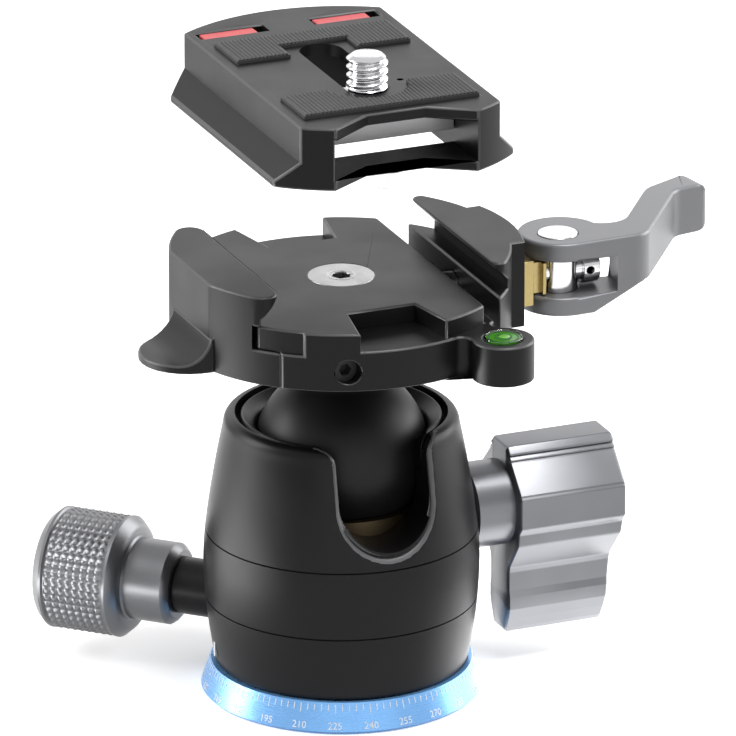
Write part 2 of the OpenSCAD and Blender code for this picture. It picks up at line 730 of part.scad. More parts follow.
// ---- Ball ----
module ball() {
    color("black") difference() {
        union() {
            intersection() {
                translate([0, 0, ball_z]) sphere(r = ball_r);
                along_z(ball_z - ball_r - cut, ball_z + ball_top, ball_r + cut);
            }
            along_z(ball_z + ball_top - cut, clamp_z, neck_r);
        }
        along_z(clamp_z - thread_depth, clamp_z + cut, centre_screw_r + run_gap);
    }
}

// ---- Clamp ----
// Cutter that rounds off the corner between a circle about the origin and the line at x.
// It is tangent to both: a positive rounding lies beyond the line, a negative one before it.
module tip_cut(x, r, rounding, z0, z1) {
    t = abs(rounding);
    cx = x + rounding;
    cy = sqrt(pow(r - t, 2) - cx * cx);
    start = rounding > 0 ? 180 : 0;
    turn = atan2(cy, cx) - start;
    arc = [for (i = [0:8]) [cx + t * cos(start + turn * i / 8), cy + t * sin(start + turn * i / 8)]];
    side_x = x - sign(rounding) * cut;
    translate([0, 0, z0]) linear_extrude(z1 - z0)
        polygon(concat([[side_x, cy]], arc, [[arc[8][0], r + cut], [side_x, r + cut]]));
}
module bed_slice(x0, x1, z0, z1, r = clamp_r) {
    intersection() {
        along_z(z0, z1, r);
        block([x0, -clamp_r - cut, z0 - cut], [x1, clamp_r + cut, z1 + cut]);
    }
}
// Pocket for a stop pin, wider at the rim than at its back
module stop_recess() {
    rim_w = stop_recess_w + stop_recess_flare;
    translate([0, 0, floor_z - step_h]) linear_extrude(step_h + cut) polygon([
        [-stop_recess_w, -stop_recess_y], [-rim_w, -clamp_r], [-rim_w, -clamp_r - cut],
        [rim_w, -clamp_r - cut], [rim_w, -clamp_r], [stop_recess_w, -stop_recess_y]
    ]);
}
// Ledge that runs from the front recess to the ear
module ledge_cut() {
    difference() {
        block([stop_recess_w, -clamp_r - cut, floor_z - step_h], [floor_x + eps, -stop_recess_y, floor_z + cut]);
        along_z(floor_z - step_h - cut, floor_z + 2 * cut, ledge_r);
    }
}
module ear_web() {
    a = atan2(ear_y, ear_x);
    rotate([0, 0, a]) difference() {
        block([clamp_r - 4, -web_w / 2, clamp_z], [web_end, web_w / 2, clamp_z + ear_h]);
        for (s = [-1, 1]) translate([blend_u, s * blend_v, 0]) along_z(clamp_z - cut, floor_z + cut, blend_r);
    }
}
module at_jaw_screws() { for (y = [-jaw_screw_y, jaw_screw_y]) translate([jaw_screw_x, y, clamp_z]) children(); }
module at_guides() { for (y = [-guide_y, guide_y]) translate([0, y, guide_z]) children(); }
module clamp_body() {
    color("black") difference() {
        union() {
            bed_slice(step_face_x, bed_x, clamp_z, clamp_z + foot_h + eps);
            bed_slice(tongue_root_x, bed_x, clamp_z + foot_h, floor_z);
            bed_slice(tongue_x, tongue_root_x + eps, clamp_z + foot_h, floor_z, clamp_r - tongue_inset);
            ear_web();
            translate([ear_x, ear_y, 0]) along_z(clamp_z, clamp_z + ear_h, ear_r);
        }
        block([floor_x, -clamp_r - cut, floor_z - step_h], [bed_x + cut, clamp_r + cut, floor_z + cut]);
        stop_recess();
        mirror([0, 1, 0]) stop_recess();
        ledge_cut();
        mirror([1, 0, 0])
            tip_cut(-tongue_x, clamp_r - tongue_inset, -tongue_round, clamp_z + foot_h, floor_z + cut);
        along_z(clamp_z - cut, floor_z, centre_screw_r + seat_gap);
        along_z(floor_z - centre_head_h, floor_z + cut, centre_head_r + seat_gap);
        translate([ear_x, ear_y, 0]) along_z(vial_z, clamp_z + ear_h + cut, vial_r + seat_gap);
        translate([stop_screw_x, 0, stop_screw_z]) along_y(-clamp_r - cut, stop_screw_y0, stop_screw_r + seat_gap);
        translate([0, 0, draw_z]) along_x(draw_x0, bed_x + cut, draw_r + seat_gap);
        at_guides() {
            along_x(guide_x0, bed_x + cut, guide_r + seat_gap);
            along_x(spring_x, bed_x + cut, spring_r + spring_room);
        }
        at_jaw_screws() along_z(0, foot_h + jaw_screw_bite + insert_wall_z, jaw_screw_r + seat_gap);
    }
}
// Plan of the thumb tab: a rounded nose that narrows towards its tip
function tab_line() = [
    for (i = [0:16]) let (a = -90 + 180 * i / 16)
        [-tab_root_x - (tab_x - tab_root_x) * pow(cos(a), 0.9), tab_y + tab_half_w * sin(a)]
];
module thumb_tab() {
    scoop_x = flat_x + 0.1;
    scoop_z = clamp_z + tab_lip;
    high = floor_z;
    difference() {
        translate([0, 0, clamp_z]) linear_extrude(tab_h) polygon(concat([[fixed_face_x, tab_y]], tab_line()));
        slab_xz(tab_y - tab_half_w - cut, tab_y + tab_half_w + cut, rounded(
            [[-tab_x - cut, scoop_z], [scoop_x, scoop_z], [scoop_x, high], [-tab_x - cut, high]],
            [0, scoop_r, 0, 0], 8
        ));
    }
}
module fixed_jaw() {
    profile = [
        [flat_x, clamp_z], [step_face_x, clamp_z], [step_face_x, clamp_z + foot_h],
        [fixed_face_x, clamp_z + foot_h], [fixed_face_x, floor_z], [-jaw_root_x, floor_z],
        [-jaw_root_x, jaw_edge_z], [-jaw_tip_x, jaw_lip_z], [-jaw_tip_x, jaw_top_z], [flat_x, jaw_top_z]
    ];
    color("black") difference() {
        union() {
            intersection() {
                along_z(clamp_z, jaw_top_z, clamp_r);
                slab_xz(-clamp_r, clamp_r, profile);
            }
            thumb_tab();
        }
        for (y = [0, 1]) mirror([0, y, 0]) mirror([1, 0, 0])
            tip_cut(jaw_tip_x, clamp_r, jaw_round, floor_z, jaw_top_z + cut);
        at_jaw_screws() countersunk(jaw_screw_head_r, jaw_screw_r, foot_h + cut, seat_gap);
    }
}
module fixed_jaw_screws() {
    color("darkgray") at_jaw_screws() difference() {
        countersunk(jaw_screw_head_r, jaw_screw_r, foot_h + jaw_screw_bite);
        hex_socket(-cut, cut + 0.8, 0.45);
    }
}
module centre_screw() {
    color("silver") difference() {
        union() {
            along_z(clamp_z - thread_depth + 1, floor_z - centre_head_h + eps, centre_screw_r);
            along_z(floor_z - centre_head_h, floor_z, centre_head_r);
        }
        hex_socket(floor_z - 2.4, 3, 1.5);
    }
}
module level_vial() {
    color("palegreen", 0.5) translate([ear_x, ear_y, 0]) difference() {
        along_z(vial_z, clamp_z + ear_h + vial_crown, vial_r);
        along_z(vial_z - cut, clamp_z + ear_h, vial_r - vial_wall);
    }
}
module level_fluid() {
    color("limegreen") translate([ear_x, ear_y, 0])
        along_z(vial_z, clamp_z + ear_h - face_gap, vial_r - vial_wall - seat_gap);
}
module stop_screw() {
    color("darkgray") translate([stop_screw_x, 0, stop_screw_z]) rotate([90, 0, 0]) difference() {
        along_z(-stop_screw_y0 + seat_gap, -stop_screw_y1, stop_screw_r);
        hex_socket(-stop_screw_y1 - 1.5, 2, 1);
    }
}
module guide_pins() {
    color("silver") at_guides() along_x(guide_x0, guide_end, guide_r);
}
// Coil of round wire, swept as rings of points along its helix
module coil(x0, x1, r, wire, turns) {
    steps = 12 * turns;
    sides = 6;
    pts = [for (i = [0:steps], j = [0:sides - 1])
        let (a = 30 * i, b = 360 * j / sides, rr = r + wire * cos(b))
        [x0 + wire + (x1 - x0 - 2 * wire) * i / steps + wire * sin(b), rr * cos(a), rr * sin(a)]];
    walls = [for (i = [0:steps - 1], j = [0:sides - 1])
        let (k = (j + 1) % sides)
        [i * sides + j, i * sides + k, (i + 1) * sides + k, (i + 1) * sides + j]];
    polyhedron(pts, concat(
        walls,
        [[for (j = [sides - 1:-1:0]) j], [for (j = [0:sides - 1]) steps * sides + j]]
    ));
}
module jaw_springs() {
    color("silver") at_guides()
        coil(spring_x, moving_foot_x - jaw_travel - face_gap, spring_r - wire_r, wire_r, spring_turns);
}
module draw_bolt() {
    head_x = lever_x + lever_pin_r + 0.3;
    color("silver") translate([0, 0, draw_z]) difference() {
        union() {
            along_x(draw_x0 + seat_gap, head_x + eps, draw_r);
            along_x(head_x, head_x + draw_head_len, draw_head_r);
        }
        translate([head_x + draw_head_len - 1.6, 0, 0]) rotate([0, 90, 0]) hex_socket(0, 2, 1.3);
        translate([head_x + 1, 0, 0]) along_y(-draw_head_r - cut, draw_head_r + cut, 0.6);
    }
}
module lever_pin() {
    color("silver") difference() {
        translate([lever_x, 0, 0]) along_z(lever_z0 + 0.1, lever_z1 + 0.1, lever_pin_r);
        translate([0, 0, draw_z]) along_x(lever_x - 2 * lever_pin_r, lever_x + 2 * lever_pin_r, draw_r + bolt_room);
    }
}

// ---- Moving jaw ----
module movable_jaw() {
    tip_x = jaw_tip_x + jaw_travel;
    root_x = jaw_root_x + jaw_travel;
    profile = [
        [moving_foot_x, clamp_z], [moving_r, clamp_z], [moving_r, jaw_top_z], [tip_x, jaw_top_z],
        [tip_x, jaw_lip_z], [root_x, jaw_edge_z], [root_x, floor_z - 0.2], [moving_foot_x, floor_z - 0.2]
    ];
    color("black") difference() {
        union() {
            difference() {
                intersection() {
                    along_z(clamp_z, jaw_top_z, moving_r);
                    slab_xz(-moving_r, moving_r, profile);
                }
                for (y = [0, 1]) mirror([0, y, 0])
                    tip_cut(tip_x, moving_r, moving_round, floor_z - 0.2, jaw_top_z + cut);
            }
            intersection() {
                along_z(clamp_z, jaw_top_z, boss_r);
                block([root_x + cut, -boss_w / 2, clamp_z - cut], [boss_r + cut, boss_w / 2, jaw_top_z + cut]);
            }
        }
        block([boss_face_x, -saddle_w / 2 - saddle_gap, saddle_z0 - saddle_gap],
              [boss_r + cut, saddle_w / 2 + saddle_gap, saddle_z1 + saddle_gap]);
        translate([0, 0, draw_z]) along_x(0, boss_r + cut, draw_r + bolt_room);
        at_guides() along_x(0, boss_face_x - 0.8, guide_r + run_gap);
    }
}
module cam_saddle() {
    spool_z0 = slot_z0 + spool_gap;
    spool_z1 = slot_z0 + slot_h - spool_gap;
    color("goldenrod") difference() {
        union() {
            block([boss_face_x, -saddle_w / 2, saddle_z0], [saddle_x1, saddle_w / 2, saddle_z1]);
            block([saddle_x1 - eps, -2.4, spool_z0], [spool_x - spool_t + eps, 2.4, spool_z1]);
            block([spool_x - spool_t, -3.4, spool_z0], [spool_x, 3.4, spool_z1]);
        }
        translate([0, 0, draw_z]) along_x(boss_face_x - cut, lever_x, draw_r + bolt_room);
    }
}

// ---- Lever ----
module clamp_lever() {
    bend = [lever_x + bend_x, cam_y - cam_r + 0.4];
    dir = [cos(bend_angle), sin(bend_angle)];
    side = [-sin(bend_angle), cos(bend_angle)];
    elbow = bend + arm_len * dir;
    inner_elbow = elbow + arm_t * side;
    inner_bend_y = bend[1] + arm_t + 0.4;
    inner_bend = inner_elbow - dir * (inner_elbow[1] - inner_bend_y) / dir[1];
    near_tip = elbow + tip_len * [cos(10), sin(10)];
    far_tip = near_tip + [-0.4, tip_t];
    outline = [
        [cam_x, cam_y - cam_r], bend, elbow, near_tip, far_tip, inner_elbow, inner_bend,
        [cam_x, cam_y + cam_r]
    ];
    arm_z = lever_z1 - arm_h;
    far_x = bend[0] + 2 * arm_len;
    color("slategray") difference() {
        union() {
            translate([cam_x, cam_y, 0]) along_z(lever_z0, lever_z1, cam_r);
            translate([0, 0, lever_z0]) linear_extrude(lever_h)
                polygon(rounded(outline, [0, 4, 3, 1.4, 1.8, 5, 4, 0]));
        }
        slab_xz(-cam_r * 2, arm_len * 2, [
            [cam_x + 3, lever_z0 - cut], [cam_x + 3, lever_z0], [bend[0], arm_z],
            [far_x, arm_z], [far_x, lever_z0 - cut]
        ]);
        translate([lever_x, 0, 0]) along_z(slot_z0, slot_z0 + slot_h, slot_r);
        translate([lever_x, 0, 0]) along_z(lever_z0 - cut, lever_z1 + cut, lever_pin_r + run_gap);
    }
}

// ---- Plate ----
module plate_disc(z0, z1) { along_z(z0, z1, plate_r); }
module pad_bed(grow) {
    front_pad_shape(plate_top - pad_sink, plate_top + cut, grow);
    rear_pad_shape(plate_top - pad_sink, plate_top + cut, grow);
}
module front_pad_shape(z0, z1, grow = 0) {
    difference() {
        block([-pad_w - grow, front_pad_y[0] - grow, z0], [pad_w + grow, front_pad_y[1] + grow, z1]);
        translate([0, -camera_screw_y, 0]) along_z(z0 - cut, z1 + cut, camera_thread_r + 3 - grow);
    }
}
module rear_pad_shape(z0, z1, grow = 0) {
    difference() {
        block([-pad_w - grow, rear_pad_y[0] - grow, z0], [pad_w + grow, rear_pad_y[1] + grow, z1]);
        block([-rear_notch_w + grow, 0, z0 - cut], [rear_notch_w - grow, rear_notch_y - grow, z1 + cut]);
    }
}
module plate_body() {
    section = [
        [-dovetail_w, plate_z], [-dovetail_w, plate_z + dovetail_edge],
        [-neck_w, plate_z + dovetail_edge + dovetail_slope], [-neck_w, plate_top],
        [neck_w, plate_top], [neck_w, plate_z + dovetail_edge + dovetail_slope],
        [dovetail_w, plate_z + dovetail_edge], [dovetail_w, plate_z]
    ];
    color("black") difference() {
        intersection() {
            plate_disc(plate_z, plate_top);
            slab_xz(-plate_r, plate_r, section);
        }
        difference() {
            block([-hollow_w, -plate_r - cut, plate_z - cut], [hollow_w, hollow_back_y, hollow_top]);
            block([-hollow_w - cut, -plate_r - cut, plate_z - 2 * cut], [hollow_w + cut, -bar_y, bar_top]);
        }
        translate([0, 0, plate_z - cut]) linear_extrude(plate_h + 2 * cut) polygon([
            [-hollow_w, -plate_r - cut], [-hollow_w, -recess_front], [-recess_half, -recess_y],
            [recess_half, -recess_y], [hollow_w, -recess_front], [hollow_w, -plate_r - cut]
        ]);
        for (y = [-camera_screw_y, screw_travel - camera_screw_y])
            translate([0, y, 0]) along_z(plate_z, plate_top + cut, camera_thread_r + slot_gap);
        block([-camera_thread_r - slot_gap, -camera_screw_y, hollow_top - cut],
              [camera_thread_r + slot_gap, screw_travel - camera_screw_y, plate_top + cut]);
        pad_bed(seat_gap);
        for (s = [-1, 1]) translate([s * insert_x, insert_y, plate_top - insert_depth])
            translate([-insert_slot / 2, -insert_w / 2, 0]) cube([insert_slot, insert_w, insert_depth + cut]);
        for (s = [-1, 1]) translate([0, s * stop_pin_y, 0])
            along_z(plate_z - cut, bar_top - face_gap, stop_pin_r / 2 + seat_gap);
        translate([dot_xy[0], dot_xy[1], 0]) along_z(plate_top - dot_r * 2, plate_top + cut, dot_r);
    }
}
module front_pad() {
    color("darkslategray") front_pad_shape(plate_top - pad_sink, plate_top + pad_h);
}
module rear_pad() {
    color("darkslategray") rear_pad_shape(plate_top - pad_sink, plate_top + pad_h);
}
module strap_inserts() {
    color("crimson") for (s = [-1, 1])
        translate([s * insert_x - 0.4 - insert_len / 2, insert_y - insert_w / 2 + seat_gap, plate_top - insert_depth])
            cube([insert_len, insert_w - 2 * seat_gap, insert_depth - insert_sink]);
}
module plate_stop_pins() {
    color("silver") for (s = [-1, 1]) translate([0, s * stop_pin_y, 0]) difference() {
        union() {
            along_z(plate_z - stop_pin_h, plate_z, stop_pin_r);
            along_z(plate_z - eps, bar_top - 2 * face_gap, stop_pin_r / 2);
        }
        hex_socket(plate_z - stop_pin_h - cut, cut + 1.2, 1.2);
    }
}
module slide_block() {
    color("silver") translate([0, -camera_screw_y, 0]) difference() {
        block([-slide_half_w, -slide_half_len, slide_z0], [slide_half_w, slide_half_len, slide_z1]);
        along_z(slide_z0 - cut, slide_z1 + cut, shank_r + run_gap);
        along_z(slide_z0 - cut, camera_head_z + slide_gap, camera_head_r + head_room);
    }
}
module camera_screw() {
    top = thread_z + camera_thread_len - tip_chamfer;
    color("silver") translate([0, -camera_screw_y, 0]) difference() {
        union() {
            along_z(camera_head_z - camera_head_h, camera_head_z, camera_head_r);
            along_z(camera_head_z - eps, thread_z + eps, shank_r);
            along_z(thread_z, top, camera_thread_r);
            translate([0, 0, top])
                cylinder(h = tip_chamfer, r1 = camera_thread_r, r2 = camera_thread_r - tip_chamfer);
        }
        hex_socket(camera_head_z - camera_head_h - cut, cut + 1.6, camera_key_r);
    }
}

base_plate();
degree_ring();
tripod_insert();
base_screws();
pan_spindle();
thrust_washer();
retaining_washer();
pan_nut();
housing();
index_mark();
pan_bushing();
ball_retaining_ring();
main_bushing();
pan_boss();
main_knob();
main_shaft();
knob_grub_screw();
pressure_wedge();
lower_cup();
pan_knob();
pan_shaft();
brake_shoe();
ball();
clamp_body();
fixed_jaw();
fixed_jaw_screws();
centre_screw();
level_vial();
level_fluid();
stop_screw();
guide_pins();
jaw_springs();
draw_bolt();
lever_pin();
movable_jaw();
cam_saddle();
clamp_lever();
plate_body();
front_pad();
rear_pad();
strap_inserts();
plate_stop_pins();
slide_block();
camera_screw();
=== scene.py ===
"""Tripod ball head with a lever clamp and its quick-release plate.

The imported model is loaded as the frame, and each operator below dresses or replaces some of its
pieces. Lengths are in metres, and named sizes are taken from the frame wherever it has them.
"""

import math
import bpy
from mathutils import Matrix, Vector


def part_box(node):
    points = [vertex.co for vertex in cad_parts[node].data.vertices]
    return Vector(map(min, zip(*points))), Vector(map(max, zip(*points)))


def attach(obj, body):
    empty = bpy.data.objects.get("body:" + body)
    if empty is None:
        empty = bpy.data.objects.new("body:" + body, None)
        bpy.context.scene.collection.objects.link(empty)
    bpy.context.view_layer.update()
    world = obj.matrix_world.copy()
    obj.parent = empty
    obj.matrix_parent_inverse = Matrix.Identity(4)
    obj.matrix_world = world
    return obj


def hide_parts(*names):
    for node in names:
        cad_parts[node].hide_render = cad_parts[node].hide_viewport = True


bl_info = {
    "name": "Tripod Ball Head",
    "version": (1, 0, 0),
    "blender": (4, 5, 0),
    "location": "3D View > Sidebar > Ball Head",
    "description": "Builds the surfaces and finishes of a tripod ball head round its packed frame",
    "category": "Object",
}

import bmesh
import bpy
import numpy as np
from bpy.props import FloatProperty, FloatVectorProperty, IntProperty, PointerProperty
from mathutils import Vector

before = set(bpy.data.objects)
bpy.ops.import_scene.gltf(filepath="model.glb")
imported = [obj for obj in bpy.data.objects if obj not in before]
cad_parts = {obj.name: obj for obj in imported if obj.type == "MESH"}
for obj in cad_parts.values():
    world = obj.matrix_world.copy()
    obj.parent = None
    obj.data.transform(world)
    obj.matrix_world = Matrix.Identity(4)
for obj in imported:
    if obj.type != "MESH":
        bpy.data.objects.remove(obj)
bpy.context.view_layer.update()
MM = 0.001
UP = np.array([0.0, 0.0, 1.0])
WHITE_RAYS = ("Is Camera Ray", "Is Transmission Ray", "Is Glossy Ray")


def low(node):
    """Lowest corner of a frame node, as an array."""
    return np.array(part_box(node)[0])


def high(node):
    """Highest corner of a frame node, as an array."""
    return np.array(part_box(node)[1])


def middle(node):
    """Centre of a frame node's box."""
    return (low(node) + high(node)) / 2


def node_points(node):
    """Corner points of a frame node's mesh."""
    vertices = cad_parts[node].data.vertices
    points = np.empty(len(vertices) * 3)
    vertices.foreach_get("co", points)
    return points.reshape(-1, 3)


def pan_reach(node):
    """How far a rod on the pan lock's axis, at 45 degrees between -X and +Y, reaches from +Z."""
    radius = (high(node)[2] - low(node)[2]) / 2
    return -low(node)[0] * math.sqrt(2) - radius


# ---------------------------------------------------------------- settings


class HeadSizes(bpy.types.PropertyGroup):
    """Sizes of the details that the frame doesn't hold"""

    housing_edge: FloatProperty(
        name="Notch edge", description="Width of the rounded edge round the drop notch",
        default=0.9 * MM, min=0, unit="LENGTH")
    # The paler edges of the clamp and the plate carry a painted highlight.
    clamp_edge: FloatProperty(
        name="Clamp edge", description="Width of the clamp's paler edges",
        default=0.3 * MM, min=0, unit="LENGTH")
    plate_edge: FloatProperty(
        name="Plate edge", description="Width of the plate's paler edges",
        default=0.3 * MM, min=0, unit="LENGTH")
    lever_edge: FloatProperty(
        name="Lever edge", description="Width of the lever's rounded edges",
        default=0.45 * MM, min=0, unit="LENGTH")
    small_edge: FloatProperty(
        name="Small edge", description="Width of the rounded edges of screws and small pieces",
        default=0.12 * MM, min=0, unit="LENGTH")
    tick_step: FloatProperty(
        name="Tick step", description="Angle between two marks of the degree ring",
        default=math.radians(3), unit="ROTATION")
    number_step: IntProperty(
        name="Number step", description="Degrees between two numbers of the degree ring",
        default=15, min=5, max=90)
    number_height: FloatProperty(
        name="Number height", description="Height of the numbers on the degree ring",
        default=1.5 * MM, unit="LENGTH")
    rib_pitch: FloatProperty(
        name="Rib pitch", description="Distance between the ribs of the rubber pads",
        default=0.62 * MM, unit="LENGTH")
    knurl_columns: IntProperty(
        name="Knurl columns", description="Pyramids along the pan knob", default=8, min=2, max=20)
    knurl_rows: IntProperty(
        name="Knurl rows", description="Pyramids round the pan knob", default=46, min=8, max=90)
    knurl_depth: FloatProperty(
        name="Knurl depth", description="Height of the pan knob's pyramids",
        default=0.34 * MM, unit="LENGTH")
    thread_pitch: FloatProperty(
        name="Thread pitch", description="Pitch of the camera screw, 20 threads per inch",
        default=1.27 * MM, unit="LENGTH")
    thread_depth: FloatProperty(
        name="Thread depth", description="Depth of the camera screw's thread",
        default=0.62 * MM, unit="LENGTH")


class HeadColours(bpy.types.PropertyGroup):
    """Colours of the finishes"""

    black: FloatVectorProperty(
        name="Black anodised", description="Housing, clamp and plate",
        subtype="COLOR", size=3, min=0, max=1, default=(0.006, 0.006, 0.0063))
    # Rounded edge round the drop notch: a lighter black that paints the highlight along it.
    black_edge: FloatVectorProperty(
        name="Black edge", description="Cut edge round the drop notch",
        subtype="COLOR", size=3, min=0, max=1, default=(0.14, 0.14, 0.145))
    # Edges of the clamp and the plate: a lighter black that paints a highlight along their bevels.
    worn_edge: FloatVectorProperty(
        name="Worn edge", description="Edges of the clamp and the plate",
        subtype="COLOR", size=3, min=0, max=1, default=(0.045, 0.045, 0.047))
    grey: FloatVectorProperty(
        name="Grey anodised", description="Wing of the main lock",
        subtype="COLOR", size=3, min=0, max=1, default=(0.15, 0.153, 0.162))
    lever: FloatVectorProperty(
        name="Lever grey", description="Clamp lever and pan lock",
        subtype="COLOR", size=3, min=0, max=1, default=(0.17, 0.173, 0.18))
    blue: FloatVectorProperty(
        name="Blue anodised", description="Degree ring",
        subtype="COLOR", size=3, min=0, max=1, default=(0.19, 0.43, 0.80))
    ball: FloatVectorProperty(
        name="Ball coat", description="Ball and its neck",
        subtype="COLOR", size=3, min=0, max=1, default=(0.012, 0.012, 0.013))
    steel: FloatVectorProperty(
        name="Steel", description="Screws and shafts",
        subtype="COLOR", size=3, min=0, max=1, default=(0.34, 0.34, 0.34))
    chrome: FloatVectorProperty(
        name="Chrome", description="Camera screw, pins and draw bolt",
        subtype="COLOR", size=3, min=0, max=1, default=(0.60, 0.60, 0.61))
    brass: FloatVectorProperty(
        name="Brass", description="Saddle of the clamp lever",
        subtype="COLOR", size=3, min=0, max=1, default=(0.33, 0.26, 0.115))
    # Darkened partly as painted shade over the cup deep in the drop notch, partly as the bronze's
    # own brown tone.
    bronze: FloatVectorProperty(
        name="Bronze", description="Oiled bushes and cup",
        subtype="COLOR", size=3, min=0, max=1, default=(0.10, 0.075, 0.045))
    rubber: FloatVectorProperty(
        name="Rubber", description="Ribbed pads",
        subtype="COLOR", size=3, min=0, max=1, default=(0.032, 0.032, 0.033))
    red: FloatVectorProperty(
        name="Red", description="Inserts of the plate",
        subtype="COLOR", size=3, min=0, max=1, default=(0.46, 0.06, 0.065))
    marks: FloatVectorProperty(
        name="Marks", description="Numbers and pointer",
        subtype="COLOR", size=3, min=0, max=1, default=(0.90, 0.92, 0.94))
    level: FloatVectorProperty(
        name="Level", description="Fluid of the level",
        subtype="COLOR", size=3, min=0, max=1, default=(0.04, 0.20, 0.015))


class HeadStage(bpy.types.PropertyGroup):
    """Camera, floor and lamps"""

    azimuth: FloatProperty(
        name="Azimuth", description="Camera's turn from the -Y side",
        default=math.radians(-22.5), unit="ROTATION")
    elevation: FloatProperty(
        name="Elevation", description="Camera's height angle",
        default=math.radians(20.5), unit="ROTATION")
    distance: FloatProperty(
        name="Distance", description="Camera's distance", default=2.0, unit="LENGTH")
    view_width: FloatProperty(
        name="View width", description="Width seen at the head",
        default=0.10904, unit="LENGTH")
    target: FloatVectorProperty(
        name="Target", description="Point that the camera looks at",
        subtype="TRANSLATION", size=3, unit="LENGTH", default=(0.00366, -0.0015, 0.0502))
    world_light: FloatProperty(
        name="World light", description="Strength of the surrounding light", default=0.03, min=0)
    floor_white: FloatProperty(
        name="Floor white", description="Floor's shade to the eye, in gloss and through glass",
        default=0.9, min=0, max=1)
    floor_glow: FloatProperty(
        name="Floor glow", description="Glow added where the floor shows white",
        default=0.45, min=0)
    floor_grey: FloatProperty(
        name="Floor grey", description="Floor's shade for the light that it sends back",
        default=0.15, min=0, max=1)
    # Two glowing cards on the floor, seen only in gloss: painted reflections, not lamps.
    side_card: FloatVectorProperty(
        name="Side card", description="Middle of the bright card on the floor at the left",
        subtype="TRANSLATION", size=3, unit="LENGTH", default=(-0.122, 0.028, 0))
    wing_card: FloatVectorProperty(
        name="Wing card", description="Middle of the bright card under the wing knob",
        subtype="TRANSLATION", size=3, unit="LENGTH", default=(0.038, -0.003, 0))
    side_card_light: FloatProperty(
        name="Side card light", description="Brightness of the side card in gloss",
        default=13.0, min=0)
    wing_card_light: FloatProperty(
        name="Wing card light", description="Brightness of the wing card in gloss",
        default=2.6, min=0)
    lamp_light: FloatProperty(
        name="Lamp light", description="Strength of the soft boxes", default=1.0, min=0)


# ---------------------------------------------------------------- surfaces


def grid_faces(rows, cols):
    """Quads between neighbouring rows of a grid whose point (i, j) is number i * cols + j.

    Each row closes on itself, so its last point is joined to its first.
    """
    i = np.arange(rows - 1)[:, None]
    j = np.arange(cols)[None, :]
    j_next = (j + 1) % cols
    corners = (i * cols + j, i * cols + j_next, (i + 1) * cols + j_next, (i + 1) * cols + j)
    return np.stack(np.broadcast_arrays(*corners), -1).reshape(-1, 4)


def new_piece(name, points, faces, material, smooth=35.0):
    """Object of a closed surface: doubles are merged and every face is turned outwards."""
    mesh = bpy.data.meshes.new(name)
    faces = [tuple(map(int, face)) for face in faces]
    mesh.from_pydata(np.asarray(points, float).reshape(-1, 3), [], faces)
    work = bmesh.new()
    work.from_mesh(mesh)
    bmesh.ops.remove_doubles(work, verts=work.verts, dist=1e-7)
    bmesh.ops.recalc_face_normals(work, faces=work.faces)
    work.to_mesh(mesh)
    work.free()
    return place_piece(name, mesh, material, smooth)


def place_piece(name, mesh, material, smooth):
    """Object of a mesh, smooth except across edges sharper than the given degrees."""
    mesh.shade_smooth()
    mesh.set_sharp_from_angle(angle=math.radians(smooth))
    piece = bpy.data.objects.new(name, mesh)
    if not mesh.materials:
        mesh.materials.append(material)
    bpy.context.scene.collection.objects.link(piece)
    return piece


def tube_faces(loops, n):
    """Quads between neighbouring loops of n points each, and a face at either end."""
    faces = [tuple(face) for face in grid_faces(loops, n)]
    return faces + [tuple(range(n - 1, -1, -1)), tuple((loops - 1) * n + k for k in range(n))]


def turned(profile, steps, origin=(0, 0, 0), axis=UP, ripple=None):
    """Points and faces of a profile of (along, radius) turned about an axis.

    Point (i, j) lies at origin + along_i * axis + r * (u cos a_j + v sin a_j), where u and v are
    square to the axis, and r is radius_i plus ripple(i, a_j) where a ripple is given.
    """
    along, radius = np.asarray(profile, float).T
    axis = np.asarray(axis, float) / np.linalg.norm(axis)
    side = np.cross(UP, axis) if abs(axis[2]) < 0.9 else np.array([1.0, 0.0, 0.0])
    side /= np.linalg.norm(side)
    other = np.cross(axis, side)
    angle = np.linspace(0, 2 * np.pi, steps, endpoint=False)
    r = np.repeat(radius[:, None], steps, 1)
    if ripple is not None:
        r = r + ripple(along[:, None], angle[None, :])
    ring = np.cos(angle)[:, None] * side + np.sin(angle)[:, None] * other
    points = np.asarray(origin) + along[:, None, None] * axis + r[:, :, None] * ring
    return points.reshape(-1, 3), grid_faces(len(along), steps)


def arc(centre, radius, start, end, count):
    """Points of a circle's arc in two coordinates, from one angle to another in degrees."""
    a = np.radians(np.linspace(start, end, count))
    return [(centre[0] + radius * c, centre[1] + radius * s) for c, s in zip(np.cos(a), np.sin(a))]


def swept(centre, first, last, sweep, count):
    """Arc about a centre from one radius to another that lies an angle further on.

    With s the angle, the point at the share t lies at
    centre + (first sin((1 - t) s) + last sin(t s)) / sin(s).
    """
    t = np.linspace(0, 1, count + 1)[:, None]
    rim = first * np.sin((1 - t) * sweep) + last * np.sin(t * sweep)
    return centre + rim / math.sin(sweep)


def rounded_line(corners, radii, count):
    """An open line whose inner corners are replaced by arcs that touch both sides."""
    corners = [np.array(c, float) for c in corners]
    line = []
    for k, here in enumerate(corners):
        r = radii[k]
        if r == 0 or k in (0, len(corners) - 1):
            line.append(here)
            continue
        back = corners[k - 1] - here
        ahead = corners[k + 1] - here
        back /= np.linalg.norm(back)
        ahead /= np.linalg.norm(ahead)
        half = math.acos(np.clip(back @ ahead, -1, 1)) / 2
        inward = (back + ahead) / np.linalg.norm(back + ahead)
        centre = here + inward * r / math.sin(half)
        first = here + back * r / math.tan(half) - centre
        last = here + ahead * r / math.tan(half) - centre
        line.extend(swept(centre, first, last, math.pi - 2 * half, count))
    return np.array(line)


def inset(line, amount):
    """A closed outline moved inwards along its own normals, for one that runs anticlockwise."""
    ahead = np.roll(line, -1, 0) - np.roll(line, 1, 0)
    ahead /= np.linalg.norm(ahead, axis=1, keepdims=True)
    return line + amount * np.stack([-ahead[:, 1], ahead[:, 0]], 1)


